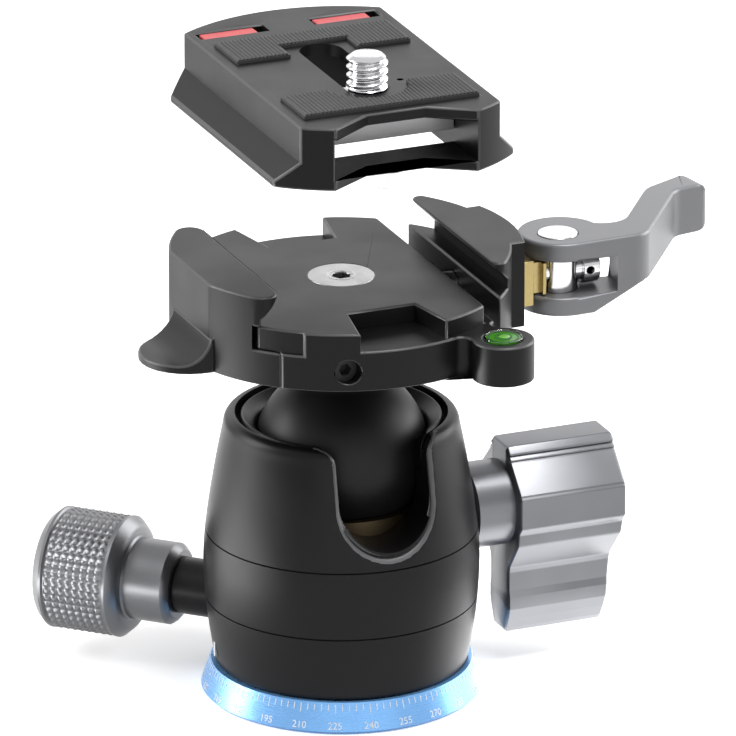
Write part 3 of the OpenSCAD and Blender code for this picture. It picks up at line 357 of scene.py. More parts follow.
def drawn_out(line, ends, edge, place, steps=3):
    """Points and faces of an outline drawn out between two ends, with a rounded edge at both.

    Each loop is the outline moved in by edge * (1 - sin t) at edge * (1 - cos t) from the end, for
    t from zero up to a right angle, and place() puts (loop's distance, outline) into space.
    """
    t = np.radians(np.linspace(0, 90, steps + 1))
    near = [(ends[0] + edge * (1 - math.cos(a)), edge * (1 - math.sin(a))) for a in t]
    loops = near + [(ends[1] - (z - ends[0]), d) for z, d in reversed(near)]
    points = [place(z, inset(line, d)) for z, d in loops]
    return np.concatenate(points), tube_faces(len(loops), len(line))


def merge_flats(work, flat=0.4):
    """Joins the triangles of every flat region that has no hole in it into one face.

    A region is filled from a face across edges flatter than the given degrees. It has no hole
    where its corners less its edges plus its faces make one.
    """
    limit = math.radians(flat)
    seen = set()
    regions = []
    for seed in work.faces:
        if seed in seen:
            continue
        seen.add(seed)
        region, queue = [seed], [seed]
        while queue:
            for edge in queue.pop().edges:
                if len(edge.link_faces) != 2:
                    continue
                for face in edge.link_faces:
                    if face not in seen and face.normal.angle(seed.normal, 0) < limit:
                        seen.add(face)
                        region.append(face)
                        queue.append(face)
        edges = {edge for face in region for edge in face.edges}
        corners = {vertex for face in region for vertex in face.verts}
        if len(region) > 1 and len(corners) - len(edges) + len(region) == 1:
            regions.append(region)
    for region in regions:
        bmesh.ops.dissolve_faces(work, faces=region)


def edge_cutter(path, along_face, along_wall, reach, spare=0.3 * MM, steps=6):
    """Solid that takes the sharp edge off a path and leaves an arc tangent to both faces.

    With f and w the unit directions into the two faces and q the angle between them, the section
    at each point is an arc of radius reach * tan(q / 2) about the point's bisector at a distance of
    reach / cos(q / 2), from reach * f round to reach * w, closed by three corners outside. The arc
    lies a hair deeper than its tangents, so that the cut meets both faces cleanly.
    """
    hair = 0.008 * MM
    loops = []
    for here, f, w, a in zip(path, along_face, along_wall, reach):
        q = math.acos(np.clip(f @ w, -1, 1))
        inward = (f + w) / np.linalg.norm(f + w)
        centre = inward * (a / math.cos(q / 2) + hair)
        rim = swept(centre, a * f - centre, a * w - centre, math.pi - q, steps)
        off_face = f * math.cos(q) - w
        off_face /= np.linalg.norm(off_face)
        off_wall = w * math.cos(q) - f
        off_wall /= np.linalg.norm(off_wall)
        outside = [a * w + spare * off_wall, -inward * 1.6 * spare, a * f + spare * off_face]
        loops.append(here + np.concatenate([rim, outside]))
    return np.concatenate(loops), tube_faces(len(loops), len(loops[0]))


def cut_away(mesh, points, faces, edge_material):
    """A mesh less a solid, as a new mesh whose cut faces take the edge's material."""
    tool_mesh = bpy.data.meshes.new("cutter")
    tool_mesh.from_pydata(points, [], faces)
    work = bmesh.new()
    work.from_mesh(tool_mesh)
    bmesh.ops.recalc_face_normals(work, faces=work.faces)
    bmesh.ops.triangulate(work, faces=work.faces)
    work.to_mesh(tool_mesh)
    work.free()
    tool_mesh.materials.append(edge_material)
    tool = bpy.data.objects.new("cutter", tool_mesh)
    blank = bpy.data.objects.new("blank", mesh)
    for thing in (tool, blank):
        bpy.context.scene.collection.objects.link(thing)
    cut = blank.modifiers.new("Cut", "BOOLEAN")
    cut.operation = "DIFFERENCE"
    cut.solver = "EXACT"
    cut.material_mode = "TRANSFER"
    cut.object = tool
    evaluated = blank.evaluated_get(bpy.context.evaluated_depsgraph_get())
    result = bpy.data.meshes.new_from_object(evaluated)
    for thing in (tool, blank):
        bpy.data.objects.remove(thing)
    bpy.data.meshes.remove(tool_mesh)
    return result


def welded(mesh):
    """A mesh opened for work, with its doubled corners joined."""
    work = bmesh.new()
    work.from_mesh(mesh)
    bmesh.ops.remove_doubles(work, verts=work.verts, dist=1e-6)
    return work


def copy_of(node, material, width=0.0, weight=None, sharp=30.0, segments=3, name=None,
            cutter=None, edge_material=None):
    """A welded copy of a frame node, less a cutter where one is given, with bevelled outer edges.

    A cutter is its points, its faces and the material of the faces that it leaves. weight(middle)
    gives each sharp outer edge its share of the bevel's width, from 0 to 1. Bevels take the edge
    material where one is given.
    """
    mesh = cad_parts[node].data.copy()
    mesh.materials.clear()
    work = welded(mesh)
    if cutter is not None:
        work.to_mesh(mesh)
        work.free()
        mesh.materials.append(material)
        mesh = cut_away(mesh, *cutter)
        work = welded(mesh)
    if width:
        merge_flats(work)
    layer = work.edges.layers.float.new("bevel_weight_edge")
    for edge in work.edges:
        if edge.is_convex and edge.calc_face_angle(0) > math.radians(sharp):
            mid = np.array((edge.verts[0].co + edge.verts[1].co) / 2)
            edge[layer] = 1.0 if weight is None else weight(mid)
    work.to_mesh(mesh)
    work.free()
    if "custom_normal" in mesh.attributes:
        mesh.attributes.remove(mesh.attributes["custom_normal"])
    piece = place_piece(name or node + "_finished", mesh, material, sharp)
    if width:
        bevel = piece.modifiers.new("Edges", "BEVEL")
        bevel.limit_method = "WEIGHT"
        bevel.width = width
        bevel.segments = segments
        bevel.use_clamp_overlap = False
        flats = piece.modifiers.new("Flat faces", "WEIGHTED_NORMAL")
        flats.keep_sharp = True
        flats.weight = 100
        if edge_material is not None:
            mesh.materials.append(edge_material)
            bevel.material = 1
    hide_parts(node)
    return piece


# ---------------------------------------------------------------- finishes


def node_tree(name):
    """A fresh material with its shader and an Object coordinate to build patterns on."""
    material = bpy.data.materials.new(name)
    material.use_nodes = True
    tree = material.node_tree
    shader = tree.nodes["Principled BSDF"]
    place = tree.nodes.new("ShaderNodeTexCoord")
    return material, tree, shader, place.outputs["Object"]


def noise(tree, place, size, detail=2.0, stretch=(1, 1, 1)):
    """Noise whose grains are about the given size, longer along an axis whose stretch is small."""
    mapping = tree.nodes.new("ShaderNodeMapping")
    mapping.inputs["Scale"].default_value = stretch
    tree.links.new(place, mapping.inputs["Vector"])
    texture = tree.nodes.new("ShaderNodeTexNoise")
    texture.inputs["Scale"].default_value = 1 / size
    texture.inputs["Detail"].default_value = detail
    tree.links.new(mapping.outputs["Vector"], texture.inputs["Vector"])
    return texture.outputs["Fac"]


def ranged(tree, value, out_low, out_high, in_low=0.3, in_high=0.7):
    """A value mapped onto a range."""
    node = tree.nodes.new("ShaderNodeMapRange")
    node.inputs["From Min"].default_value = in_low
    node.inputs["From Max"].default_value = in_high
    node.inputs["To Min"].default_value = out_low
    node.inputs["To Max"].default_value = out_high
    tree.links.new(value, node.inputs["Value"])
    return node.outputs["Result"]


def tinted(tree, shader, colour, value, spread):
    """Base colour that varies by the given share round its mean."""
    mix = tree.nodes.new("ShaderNodeMix")
    mix.data_type = "RGBA"
    mix.inputs["A"].default_value = tuple(c * (1 - spread) for c in colour) + (1,)
    mix.inputs["B"].default_value = tuple(min(1, c * (1 + spread)) for c in colour) + (1,)
    tree.links.new(value, mix.inputs["Factor"])
    tree.links.new(mix.outputs["Result"], shader.inputs["Base Color"])


def bumped(tree, shader, value, height):
    """A bump of the given height in metres."""
    bump = tree.nodes.new("ShaderNodeBump")
    bump.inputs["Distance"].default_value = height
    tree.links.new(value, bump.inputs["Height"])
    tree.links.new(bump.outputs["Normal"], shader.inputs["Normal"])


def blasted_metal(name, colour, metallic, rough, height=0.006 * MM, specular=0.5):
    """Bead-blasted and anodised: fine grain in the bump, wide faint clouds in gloss and tint."""
    material, tree, shader, place = node_tree(name)
    shader.inputs["Metallic"].default_value = metallic
    shader.inputs["Specular IOR Level"].default_value = specular
    grain, cloud = 0.12 * MM, 9 * MM
    clouds = noise(tree, place, cloud)
    tree.links.new(ranged(tree, clouds, rough - 0.03, rough + 0.04), shader.inputs["Roughness"])
    tinted(tree, shader, colour, clouds, 0.12)
    bumped(tree, shader, noise(tree, place, grain, detail=1.0), height)
    return material


def turned_metal(name, colour, rough, stretch, height=0.002 * MM, metallic=1.0):
    """Turned or drawn metal: fine lines along the axis whose stretch is small."""
    material, tree, shader, place = node_tree(name)
    shader.inputs["Metallic"].default_value = metallic
    line, cloud = 0.1 * MM, 5 * MM
    lines = noise(tree, place, line, stretch=stretch)
    tree.links.new(ranged(tree, lines, rough - 0.04, rough + 0.06), shader.inputs["Roughness"])
    tinted(tree, shader, colour, noise(tree, place, cloud), 0.08)
    bumped(tree, shader, lines, height)
    return material


def rubber(name, colour, rough):
    """Moulded rubber: matt, with a soft grain and a faint sheen."""
    material, tree, shader, place = node_tree(name)
    shader.inputs["Sheen Weight"].default_value = 0.08
    shader.inputs["Specular IOR Level"].default_value = 0.35
    grain, cloud = 0.25 * MM, 3 * MM
    grains = noise(tree, place, grain)
    tree.links.new(ranged(tree, grains, rough - 0.06, rough + 0.06), shader.inputs["Roughness"])
    tinted(tree, shader, colour, noise(tree, place, cloud), 0.15)
    bumped(tree, shader, grains, 0.01 * MM)
    return material


def paint(name, colour, rough):
    """Printed paint with a slight unevenness."""
    material, tree, shader, place = node_tree(name)
    cover = noise(tree, place, 0.4 * MM)
    tree.links.new(ranged(tree, cover, rough - 0.05, rough + 0.05), shader.inputs["Roughness"])
    tinted(tree, shader, colour, cover, 0.05)
    return material


def clear_glass(name, colour, rough):
    """Clear moulded acrylic with faint clouds in its gloss."""
    material, tree, shader, place = node_tree(name)
    shader.inputs["Transmission Weight"].default_value = 1.0
    shader.inputs["Specular IOR Level"].default_value = 0.15
    shader.inputs["IOR"].default_value = 1.46
    clouds = noise(tree, place, 2 * MM)
    tree.links.new(ranged(tree, clouds, rough, rough + 0.03), shader.inputs["Roughness"])
    tinted(tree, shader, colour, clouds, 0.03)
    return material


def fluid(name, colour):
    """Dyed fluid, seen as a glossy body whose green deepens in soft clouds."""
    material, tree, shader, place = node_tree(name)
    shader.inputs["Specular IOR Level"].default_value = 0.15
    clouds = noise(tree, place, 3 * MM)
    tree.links.new(ranged(tree, clouds, 0.08, 0.14), shader.inputs["Roughness"])
    tinted(tree, shader, colour, clouds, 0.2)
    return material


def finish(name):
    """The named finish, made the first time it is asked for, beside the frame's own materials."""
    label = "finish_" + name
    if label in bpy.data.materials:
        return bpy.data.materials[label]
    c = bpy.context.scene.head_colours
    round_z, along_x = (0.04, 0.04, 1), (0.04, 1, 1)
    makers = {
        "black_anodised": lambda n: blasted_metal(n, c.black, 0.0, 0.35, specular=0.15),
        "grey_anodised": lambda n: blasted_metal(n, c.grey, 0.9, 0.33, height=0.002 * MM),
        # Painted highlight: a lighter, glossier black for the rounded edge of the drop notch.
        "black_edge": lambda n: blasted_metal(n, c.black_edge, 0.0, 0.4, specular=0.5),
        # Painted highlight: lighter black for the bevel faces of the clamp and the plate.
        "worn_edge": lambda n: blasted_metal(n, c.worn_edge, 0.0, 0.4, specular=0.4),
        "lever_grey": lambda n: blasted_metal(n, c.lever, 0.45, 0.42, height=0.004 * MM),
        "knob_grey": lambda n: blasted_metal(n, c.lever, 0.75, 0.34, height=0.004 * MM),
        "bright_steel": lambda n: turned_metal(n, c.chrome, 0.35, round_z, metallic=0.4),
        "blue_anodised": lambda n: turned_metal(n, c.blue, 0.28, round_z, metallic=0.55),
        "ball_coat": lambda n: blasted_metal(
            n, c.ball, 0.0, 0.46, height=0.001 * MM, specular=0.19),
        "steel": lambda n: turned_metal(n, c.steel, 0.30, round_z),
        "chrome": lambda n: turned_metal(n, c.chrome, 0.14, round_z, height=0.0006 * MM),
        "chrome_bolt": lambda n: turned_metal(n, c.chrome, 0.14, along_x, height=0.0006 * MM),
        "brass": lambda n: turned_metal(n, c.brass, 0.28, (1, 1, 0.04)),
        # Dark bronze: partly its own brown tone, partly painted shade for the cup in the notch.
        "bronze": lambda n: turned_metal(n, c.bronze, 0.42, round_z),
        "washer": lambda n: paint(n, (0.62, 0.60, 0.54), 0.5),
        "pad_rubber": lambda n: rubber(n, c.rubber, 0.62),
        "red_rubber": lambda n: rubber(n, c.red, 0.48),
        "slot_black": lambda n: rubber(n, (0.01, 0.01, 0.01), 0.6),
        "white_paint": lambda n: paint(n, c.marks, 0.45),
        "level_glass": lambda n: clear_glass(n, (0.95, 0.99, 0.93), 0.02),
        "level_green": lambda n: fluid(n, c.level),
        "level_line": lambda n: paint(n, (0.005, 0.03, 0.005), 0.4),
        "bubble": lambda n: paint(n, (0.12, 0.35, 0.05), 0.15),
    }
    return makers[name](label)


def dress(finish_name, *nodes):
    """Frame nodes whose own shape is shown, in a finish."""
    for node in nodes:
        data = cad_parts[node].data
        data.materials.clear()
        data.materials.append(finish(finish_name))


def keep(piece, body, slot, *nodes):
    """What a new piece moves with and which nodes it stands for and hides; its slot is not used."""
    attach(piece, body)
    if nodes:
        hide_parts(*nodes)
    return piece


# ---------------------------------------------------------------- base


class HEAD_OT_base(bpy.types.Operator):
    """Base plate, threaded insert and the works inside the pan bearing"""
    bl_idname = "head.base"
    bl_label = "Base"

    def execute(self, context):
        dress("black_anodised", "base_plate")
        dress("blue_anodised", "degree_ring")
        dress("steel", "tripod_insert", "base_screws", "pan_spindle", "retaining_washer", "pan_nut")
        dress("washer", "thrust_washer")
        return {"FINISHED"}


def ring_wall():
    """Foot radius, top radius, foot height and top height of the degree ring's sloped wall."""
    foot = high("degree_ring")[0]
    top = high("degree_ring")[2]
    chamfer, lean = 0.5 * MM, 1.5 * MM
    return foot, foot - lean, chamfer, top


def on_ring(turn, up, out):
    """Point on the ring's wall at an angle, a distance up its slope and a distance out of it."""
    foot_r, top_r, foot_z, top_z = ring_wall()
    slope = math.hypot(foot_r - top_r, top_z - foot_z)
    lean, rise = (top_r - foot_r) / slope, (top_z - foot_z) / slope
    r = foot_r + lean * up + rise * out
    z = foot_z + rise * up - lean * out
    return np.stack([r * np.cos(turn), r * np.sin(turn), z + 0 * turn], -1)


def flat_text(text, height, depth):
    """Points and faces of a line of text that lies flat, centred on the origin, as a solid."""
    curve = bpy.data.curves.new("text", "FONT")
    curve.body = text
    curve.size = height
    curve.extrude = depth / 2
    curve.align_x = "CENTER"
    curve.resolution_u = 3
    writer = bpy.data.objects.new("text", curve)
    bpy.context.scene.collection.objects.link(writer)
    mesh = writer.to_mesh()
    points = np.empty(len(mesh.vertices) * 3)
    mesh.vertices.foreach_get("co", points)
    faces = [tuple(p.vertices) for p in mesh.polygons]
    writer.to_mesh_clear()
    bpy.data.objects.remove(writer)
    bpy.data.curves.remove(curve)
    return points.reshape(-1, 3), faces


class HEAD_OT_ring_marks(bpy.types.Operator):
    """Fine marks and plain numbers round the degree ring"""
    bl_idname = "head.ring_marks"
    bl_label = "Ring marks"

    def execute(self, context):
        sizes = context.scene.head_sizes
        step = sizes.tick_step
        count = round(2 * math.pi / step)
        foot_r = high("degree_ring")[0]
        zero = math.radians(20)
        per_number = round(math.radians(sizes.number_step) / step)
        start, short, long, depth = 4.05 * MM, 0.95 * MM, 1.35 * MM, 0.03 * MM
        number_foot = 0.35 * MM
        half = 0.07 * MM / foot_r
        tick = np.arange(count)
        length = np.where(tick % per_number == 0, long, short)
        turn = (zero + tick * step)[:, None] + half * np.array([-1, 1, 1, -1, -1, 1, 1, -1])
        reach = np.where([1, 1, 0, 0, 1, 1, 0, 0], 0, 1)
        up = start - length[:, None] * reach
        out = np.broadcast_to(np.where([1, 1, 1, 1, 0, 0, 0, 0], -depth, depth), up.shape)
        points = [on_ring(turn, up, out).reshape(-1, 3)]
        box = np.array([(0, 1, 2, 3), (4, 5, 6, 7), (0, 1, 5, 4), (1, 2, 6, 5), (2, 3, 7, 6),
                        (3, 0, 4, 7)])
        faces = [tuple(f) for f in (box[None] + 8 * tick[:, None, None]).reshape(-1, 4)]
        for value in range(0, 360, sizes.number_step):
            flat, text_faces = flat_text(str(value), sizes.number_height, 2 * depth)
            angle = zero + math.radians(value) + flat[:, 0] / foot_r
            shift = sum(len(p) for p in points)
            points.append(on_ring(angle, number_foot + flat[:, 1], flat[:, 2]))
            faces += [tuple(k + shift for k in f) for f in text_faces]
        marks = new_piece("ring_marks", np.concatenate(points), faces, finish("white_paint"))
        keep(marks, "base", "white_paint")
        return {"FINISHED"}


# ---------------------------------------------------------------- housing


def barrel_profile():
    """Heights and radii of the barrel's outside, read from its clean rear side."""
    points = node_points("housing")
    turn = np.degrees(np.arctan2(points[:, 1], points[:, 0]))
    rear = points[(turn > 60) & (turn < 110)]
    r = np.hypot(rear[:, 0], rear[:, 1])
    heights = np.unique(rear[:, 2].round(7))
    radii = np.array([r[np.abs(rear[:, 2] - z) < 1e-6].max() for z in heights])
    deepest = 4.5 * MM
    outer = radii > radii.max() - deepest
    return heights[outer], radii[outer]


def notch_cutter(reach):
    """Cutter that rounds the outer edge of the drop notch from one end to the other.

    In the notch's plane its edge is two flared corners, two upright sides and a half circle. A
    point (x, z) of it lies on the barrel at y = -sqrt(R(z) ** 2 - x ** 2). Its sizes are read from
    the housing's points near the notch: those outside the ball's seat, in a strip at the front.
    """
    strip, seat_r, foot, straight = 12 * MM, 15 * MM, 26 * MM, (35 * MM, 42 * MM)
    heights, radii = barrel_profile()
    top = high("housing")[2]
    points = node_points("housing")
    front = points[(points[:, 1] < 0) & (np.abs(points[:, 0]) < strip)
                   & (np.hypot(points[:, 0], points[:, 1]) > seat_r)]
    sides = front[(front[:, 2] > straight[0]) & (front[:, 2] < straight[1])]
    half = np.abs(sides[:, 0]).min()
    corner = top - sides[np.abs(np.abs(sides[:, 0]) - half) < 0.01 * MM][:, 2].max()
    bottom = front[(np.abs(front[:, 0]) < half / 3) & (front[:, 2] > foot)][:, 2].min()
    round_z = bottom + half
    a = np.radians(np.linspace(90, 0, 11))
    left = np.stack([-half - corner * (1 - np.cos(a)), top - corner + corner * np.sin(a)], 1)
    side = np.stack([np.full(9, -half), np.linspace(top - corner, round_z, 10)[1:]], 1)
    b = np.radians(np.linspace(180, 270, 17))[1:]
    bowl = np.stack([half * np.cos(b), round_z + half * np.sin(b)], 1)
    line = np.concatenate([left, side, bowl])
    line = np.concatenate([line, (line * (-1, 1))[::-1][1:]])
    x, z = line.T
    r = np.interp(z, heights, radii)
    y = -np.sqrt(r ** 2 - x ** 2)
    path = np.stack([x, y, z], 1)
    ahead = np.gradient(path, axis=0)
    ahead /= np.linalg.norm(ahead, axis=1, keepdims=True)
    step = 0.05 * MM
    slope = (np.interp(z + step, heights, radii) - np.interp(z - step, heights, radii)) / (2 * step)
    out = np.stack([x / r, y / r, -slope], 1)
    out /= np.linalg.norm(out, axis=1, keepdims=True)
    face = np.cross(ahead, out)
    wall = np.array([0.0, 1.0, 0.0]) - ahead * ahead[:, 1:2]
    wall /= np.linalg.norm(wall, axis=1, keepdims=True)
    narrowing = np.clip((top - z) / corner, 0.15, 1) ** 0.5
    return edge_cutter(path, face, wall, reach * narrowing)


class HEAD_OT_housing(bpy.types.Operator):
    """Barrel with its drop notch, the ring that holds the ball and the pointer"""
    bl_idname = "head.housing"
    bl_label = "Housing"

    def execute(self, context):
        black = finish("black_anodised")
        notch = notch_cutter(context.scene.head_sizes.housing_edge)
        # The notch's rounded edge takes a lighter black, a painted highlight.
        barrel = copy_of("housing", black, cutter=(*notch, finish("black_edge")))
        keep(barrel, "housing", "black_anodised")
        edge = 0.2 * MM
        for node in ("ball_retaining_ring", "pan_boss"):
            keep(copy_of(node, black, width=edge), "housing", "black_anodised")
        dress("white_paint", "index_mark")
        # The cup at the notch's bottom is dark bronze: partly its own brown tone, partly painted
        # shade.
        dress("bronze", "pan_bushing", "main_bushing", "lower_cup", "brake_shoe")
        dress("steel", "pressure_wedge", "main_shaft", "pan_shaft")
        return {"FINISHED"}


# ---------------------------------------------------------------- knobs


class HEAD_OT_main_knob(bpy.types.Operator):
    """Wing knob: a turned neck and a wing whose outline is drawn out along the shaft"""
    bl_idname = "head.main_knob"
    bl_label = "Main lock knob"

    def execute(self, context):
        top = high("main_knob")
        bottom = low("main_knob")
        axis_z = middle("main_shaft")[2]
        neck_x, wing_x, end_x = bottom[0], middle("knob_grub_screw")[0] + 3 * MM, top[0]
        head, tail, half_w = (v / MM for v in (top[2] - axis_z, axis_z - bottom[2], top[1]))
        tail_w = 3.75
        # Half of the wing's outline as (across, up) from the shaft's axis, and the radius of each
        # corner, all in millimetres.
        side = [
            (0, head), (2.7, head), (3.5, head - 0.9), (3.66, head - 1.15), (3.4, head - 1.35),
            (4.0, head - 1.9), (3.85, head - 2.1), (4.15, head - 2.3), (half_w - 0.35, 3.35),
            (half_w - 0.3, 3.1), (half_w, 2.75), (half_w, -1.9), (7.3, -3.1), (7.05, -5.1),
            (3.7, -9.5), (3.5, -10.4), (3.5, -13.3), (tail_w, -14.4), (tail_w, -16.3),
            (3.2, 2.3 - tail), (2.5, 0.7 - tail), (2.0, -tail),
        ]
        rounds = [
            0, 0.4, 0.2, 0, 0, 0.2, 0, 0.3, 0.3, 0, 0.3, 0.8, 0.6, 1.2, 1.2, 1.0, 0.4, 0.4, 0.5,
            1.0, 0.4, 0.3,
        ]
        half = rounded_line(side, rounds, count=5) * MM
        line = np.concatenate([half, (half * (-1, 1))[::-1][:-1]])[::-1]

        def place(distance, outline):
            """Outline at a distance along the shaft, which shrinks by up to a share at the tail."""
            lean_start, lean_length, most = -3 * MM, 18 * MM, 0.09
            lean = most * np.clip((lean_start - outline[:, 1]) / lean_length, 0, 1)
            x = distance - (distance - wing_x) * lean
            return np.stack([x, outline[:, 0], axis_z + outline[:, 1]], 1)

        points, faces = drawn_out(line, (wing_x, end_x), 0.6 * MM, place)
        wing = new_piece("wing", points, faces, finish("grey_anodised"), smooth=24)
        keep(wing, "main_knob", "grey_anodised")
        neck_r, chamfer, sunk = 6.5 * MM, 0.4 * MM, 0.3 * MM
        points, faces = turned(
            [(neck_x, 0), (neck_x, neck_r - chamfer), (neck_x + chamfer, neck_r),
             (wing_x + sunk, neck_r), (wing_x + sunk, 0)],
            96, origin=(0, 0, axis_z), axis=(1, 0, 0))
        neck = new_piece("wing_neck", points, faces, finish("grey_anodised"))
        keep(neck, "main_knob", "grey_anodised")
        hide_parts("main_knob")
        dress("steel", "knob_grub_screw")
        return {"FINISHED"}


class HEAD_OT_pan_knob(bpy.types.Operator):
    """Pan knob: turned profile whose grip carries rows of small pyramids"""
    bl_idname = "head.pan_knob"
    bl_label = "Pan lock knob"

    def execute(self, context):
        sizes = context.scene.head_sizes
        axis = np.array([-1.0, 1.0, 0.0]) / math.sqrt(2)
        origin = (0, 0, middle("pan_knob")[2])
        start = pan_reach("pan_boss") + 0.05 * MM
        end = pan_reach("pan_shaft") + 2 * MM
        neck_r, neck_len = 6.2 * MM, 7.3 * MM
        head_r = (high("pan_knob")[2] - low("pan_knob")[2]) / 2
        band, edge, per_pyramid = 2.2 * MM, 0.5 * MM, 6
        head = start + neck_len
        grip = np.linspace(head + band, end - band, sizes.knurl_columns * per_pyramid + 1)
        depth = sizes.knurl_depth
        profile = [(start, 0), (start, neck_r - 1.0 * MM), (start + edge, neck_r - 0.35 * MM),
                   (start + 2 * edge, neck_r), (head - 0.3 * MM, neck_r), (head, neck_r + 0.3 * MM),
                   (head, head_r - 1.7 * MM), (head + 0.25 * MM, head_r - 1.1 * MM),
                   (head + band - 0.75 * MM, head_r + 0.02 * MM),
                   (head + band - 0.35 * MM, head_r), (head + band - 0.1 * MM, head_r - depth)]
        grip_start = len(profile)
        profile += [(x, head_r - depth) for x in grip]
        grip_end = len(profile)
        profile += [(end - band + 0.1 * MM, head_r - depth), (end - band + 0.35 * MM, head_r),
                    (end - band + 0.75 * MM, head_r + 0.02 * MM),
                    (end - 0.35 * MM, head_r - 0.9 * MM), (end, head_r - 1.4 * MM),
                    (end, head_r - 2.4 * MM), (end - 0.3 * MM, head_r - 2.7 * MM),
                    (end - 0.3 * MM, 0)]
        steep, cut_off = 1.7, 0.25

        def pyramids(along, angle):
            """Height of the lower of two rows of ridges that cross, cut off above and below."""
            u = (along - grip[0]) / (grip[-1] - grip[0]) * sizes.knurl_columns
            v = angle / (2 * np.pi) * sizes.knurl_rows
            ridge_u = 1 - np.abs(2 * (u % 1) - 1)
            ridge_v = 1 - np.abs(2 * (v % 1) - 1)
            rise = np.clip(np.minimum(ridge_u, ridge_v) * steep - cut_off, 0, 1)
            inside = np.zeros(np.shape(along))
            inside[grip_start:grip_end] = 1
            return depth * rise * inside

        points, faces = turned(profile, sizes.knurl_rows * per_pyramid, origin, axis, pyramids)
        knob = new_piece("pan_grip", points, faces, finish("knob_grey"), smooth=30)
        keep(knob, "pan_knob", "grey_anodised", "pan_knob")
        return {"FINISHED"}


# ---------------------------------------------------------------- ball


class HEAD_OT_ball(bpy.types.Operator):
    """Ball and neck, one turned piece with a hollow fillet between them"""
    bl_idname = "head.ball"
    bl_label = "Ball"

    def execute(self, context):
        r = high("ball")[0]
        centre = low("ball")[2] + r
        top = high("ball")[2]
        neck_r, neck_foot = 6.25 * MM, 10.5 * MM
        rim = math.degrees(math.asin(neck_foot / r))
        foot = centre + neck_foot
        line = [(z, y) for y, z in arc((0, centre), r, -90, rim, 60)]
        line[0] = (centre - r, 0)
        line += [(foot + 0.2 * MM, neck_r + 1.1 * MM), (foot + 0.5 * MM, neck_r + 0.5 * MM),
                 (foot + 1.1 * MM, neck_r + 0.1 * MM), (foot + 1.8 * MM, neck_r),
                 (top - 0.3 * MM, neck_r), (top, neck_r - 0.3 * MM), (top, 0)]
        points, faces = turned(line, 96)
        keep(new_piece("ball_and_neck", points, faces, finish("ball_coat"), smooth=40),
             "ball", "ball_coat", "ball")
        return {"FINISHED"}


# ---------------------------------------------------------------- clamp


def clamp_edges(mid):
    """Full width on the open edges, less at the screws and underneath, none at the jaw's bores."""
    bores_x, bores_y, bores_z = 7 * MM, 9 * MM, 3.5 * MM
    bolt_z = middle("draw_bolt")[2]
    if mid[0] > bores_x and abs(mid[2] - bolt_z) < bores_z and abs(mid[1]) < bores_y:
        return 0.0
    stop = middle("stop_screw")
    near_stop = math.hypot(mid[0] - stop[0], mid[2] - stop[2]) < 2 * MM
    near_centre = math.hypot(mid[0], mid[1]) < 6 * MM
    underneath = mid[2] < low("clamp_body")[2] + 0.1 * MM
    return 0.4 if near_stop or near_centre or underneath else 1.0


class HEAD_OT_clamp(bpy.types.Operator):
    """Clamp bed, both jaws and their screws"""
    bl_idname = "head.clamp"
    bl_label = "Clamp"

    def execute(self, context):
        sizes = context.scene.head_sizes
        # The bevels take a lighter black, a painted highlight along the clamp's edges.
        black, edge_highlight = finish("black_anodised"), finish("worn_edge")
        for node, body in (("clamp_body", "clamp"), ("fixed_jaw", "clamp"), ("movable_jaw", "jaw")):
            piece = copy_of(node, black, width=sizes.clamp_edge, weight=clamp_edges, segments=2,
                            edge_material=edge_highlight)
            keep(piece, body, "black_anodised")
        small = sizes.small_edge
        keep(copy_of("centre_screw", finish("steel"), width=small), "clamp", "steel")
        screw = middle("centre_screw")
        rim, edge, wide, proud = high("centre_screw")[2], 1.75 * MM, 0.5 * MM, 0.04 * MM
        line = [(rim - small, edge), (rim, edge), (rim + proud, edge + 0.15 * MM),
                (rim + proud, edge + 0.4 * MM), (rim, edge + wide), (rim - small, edge + wide),
                (rim - small, edge)]
        points, faces = turned(line, 48, origin=(screw[0], screw[1], 0))
        keep(new_piece("centre_screw_rim", points, faces, finish("bright_steel")), "clamp", "steel")
        dress("steel", "fixed_jaw_screws", "guide_pins", "jaw_springs")
        dress("slot_black", "stop_screw")
        return {"FINISHED"}


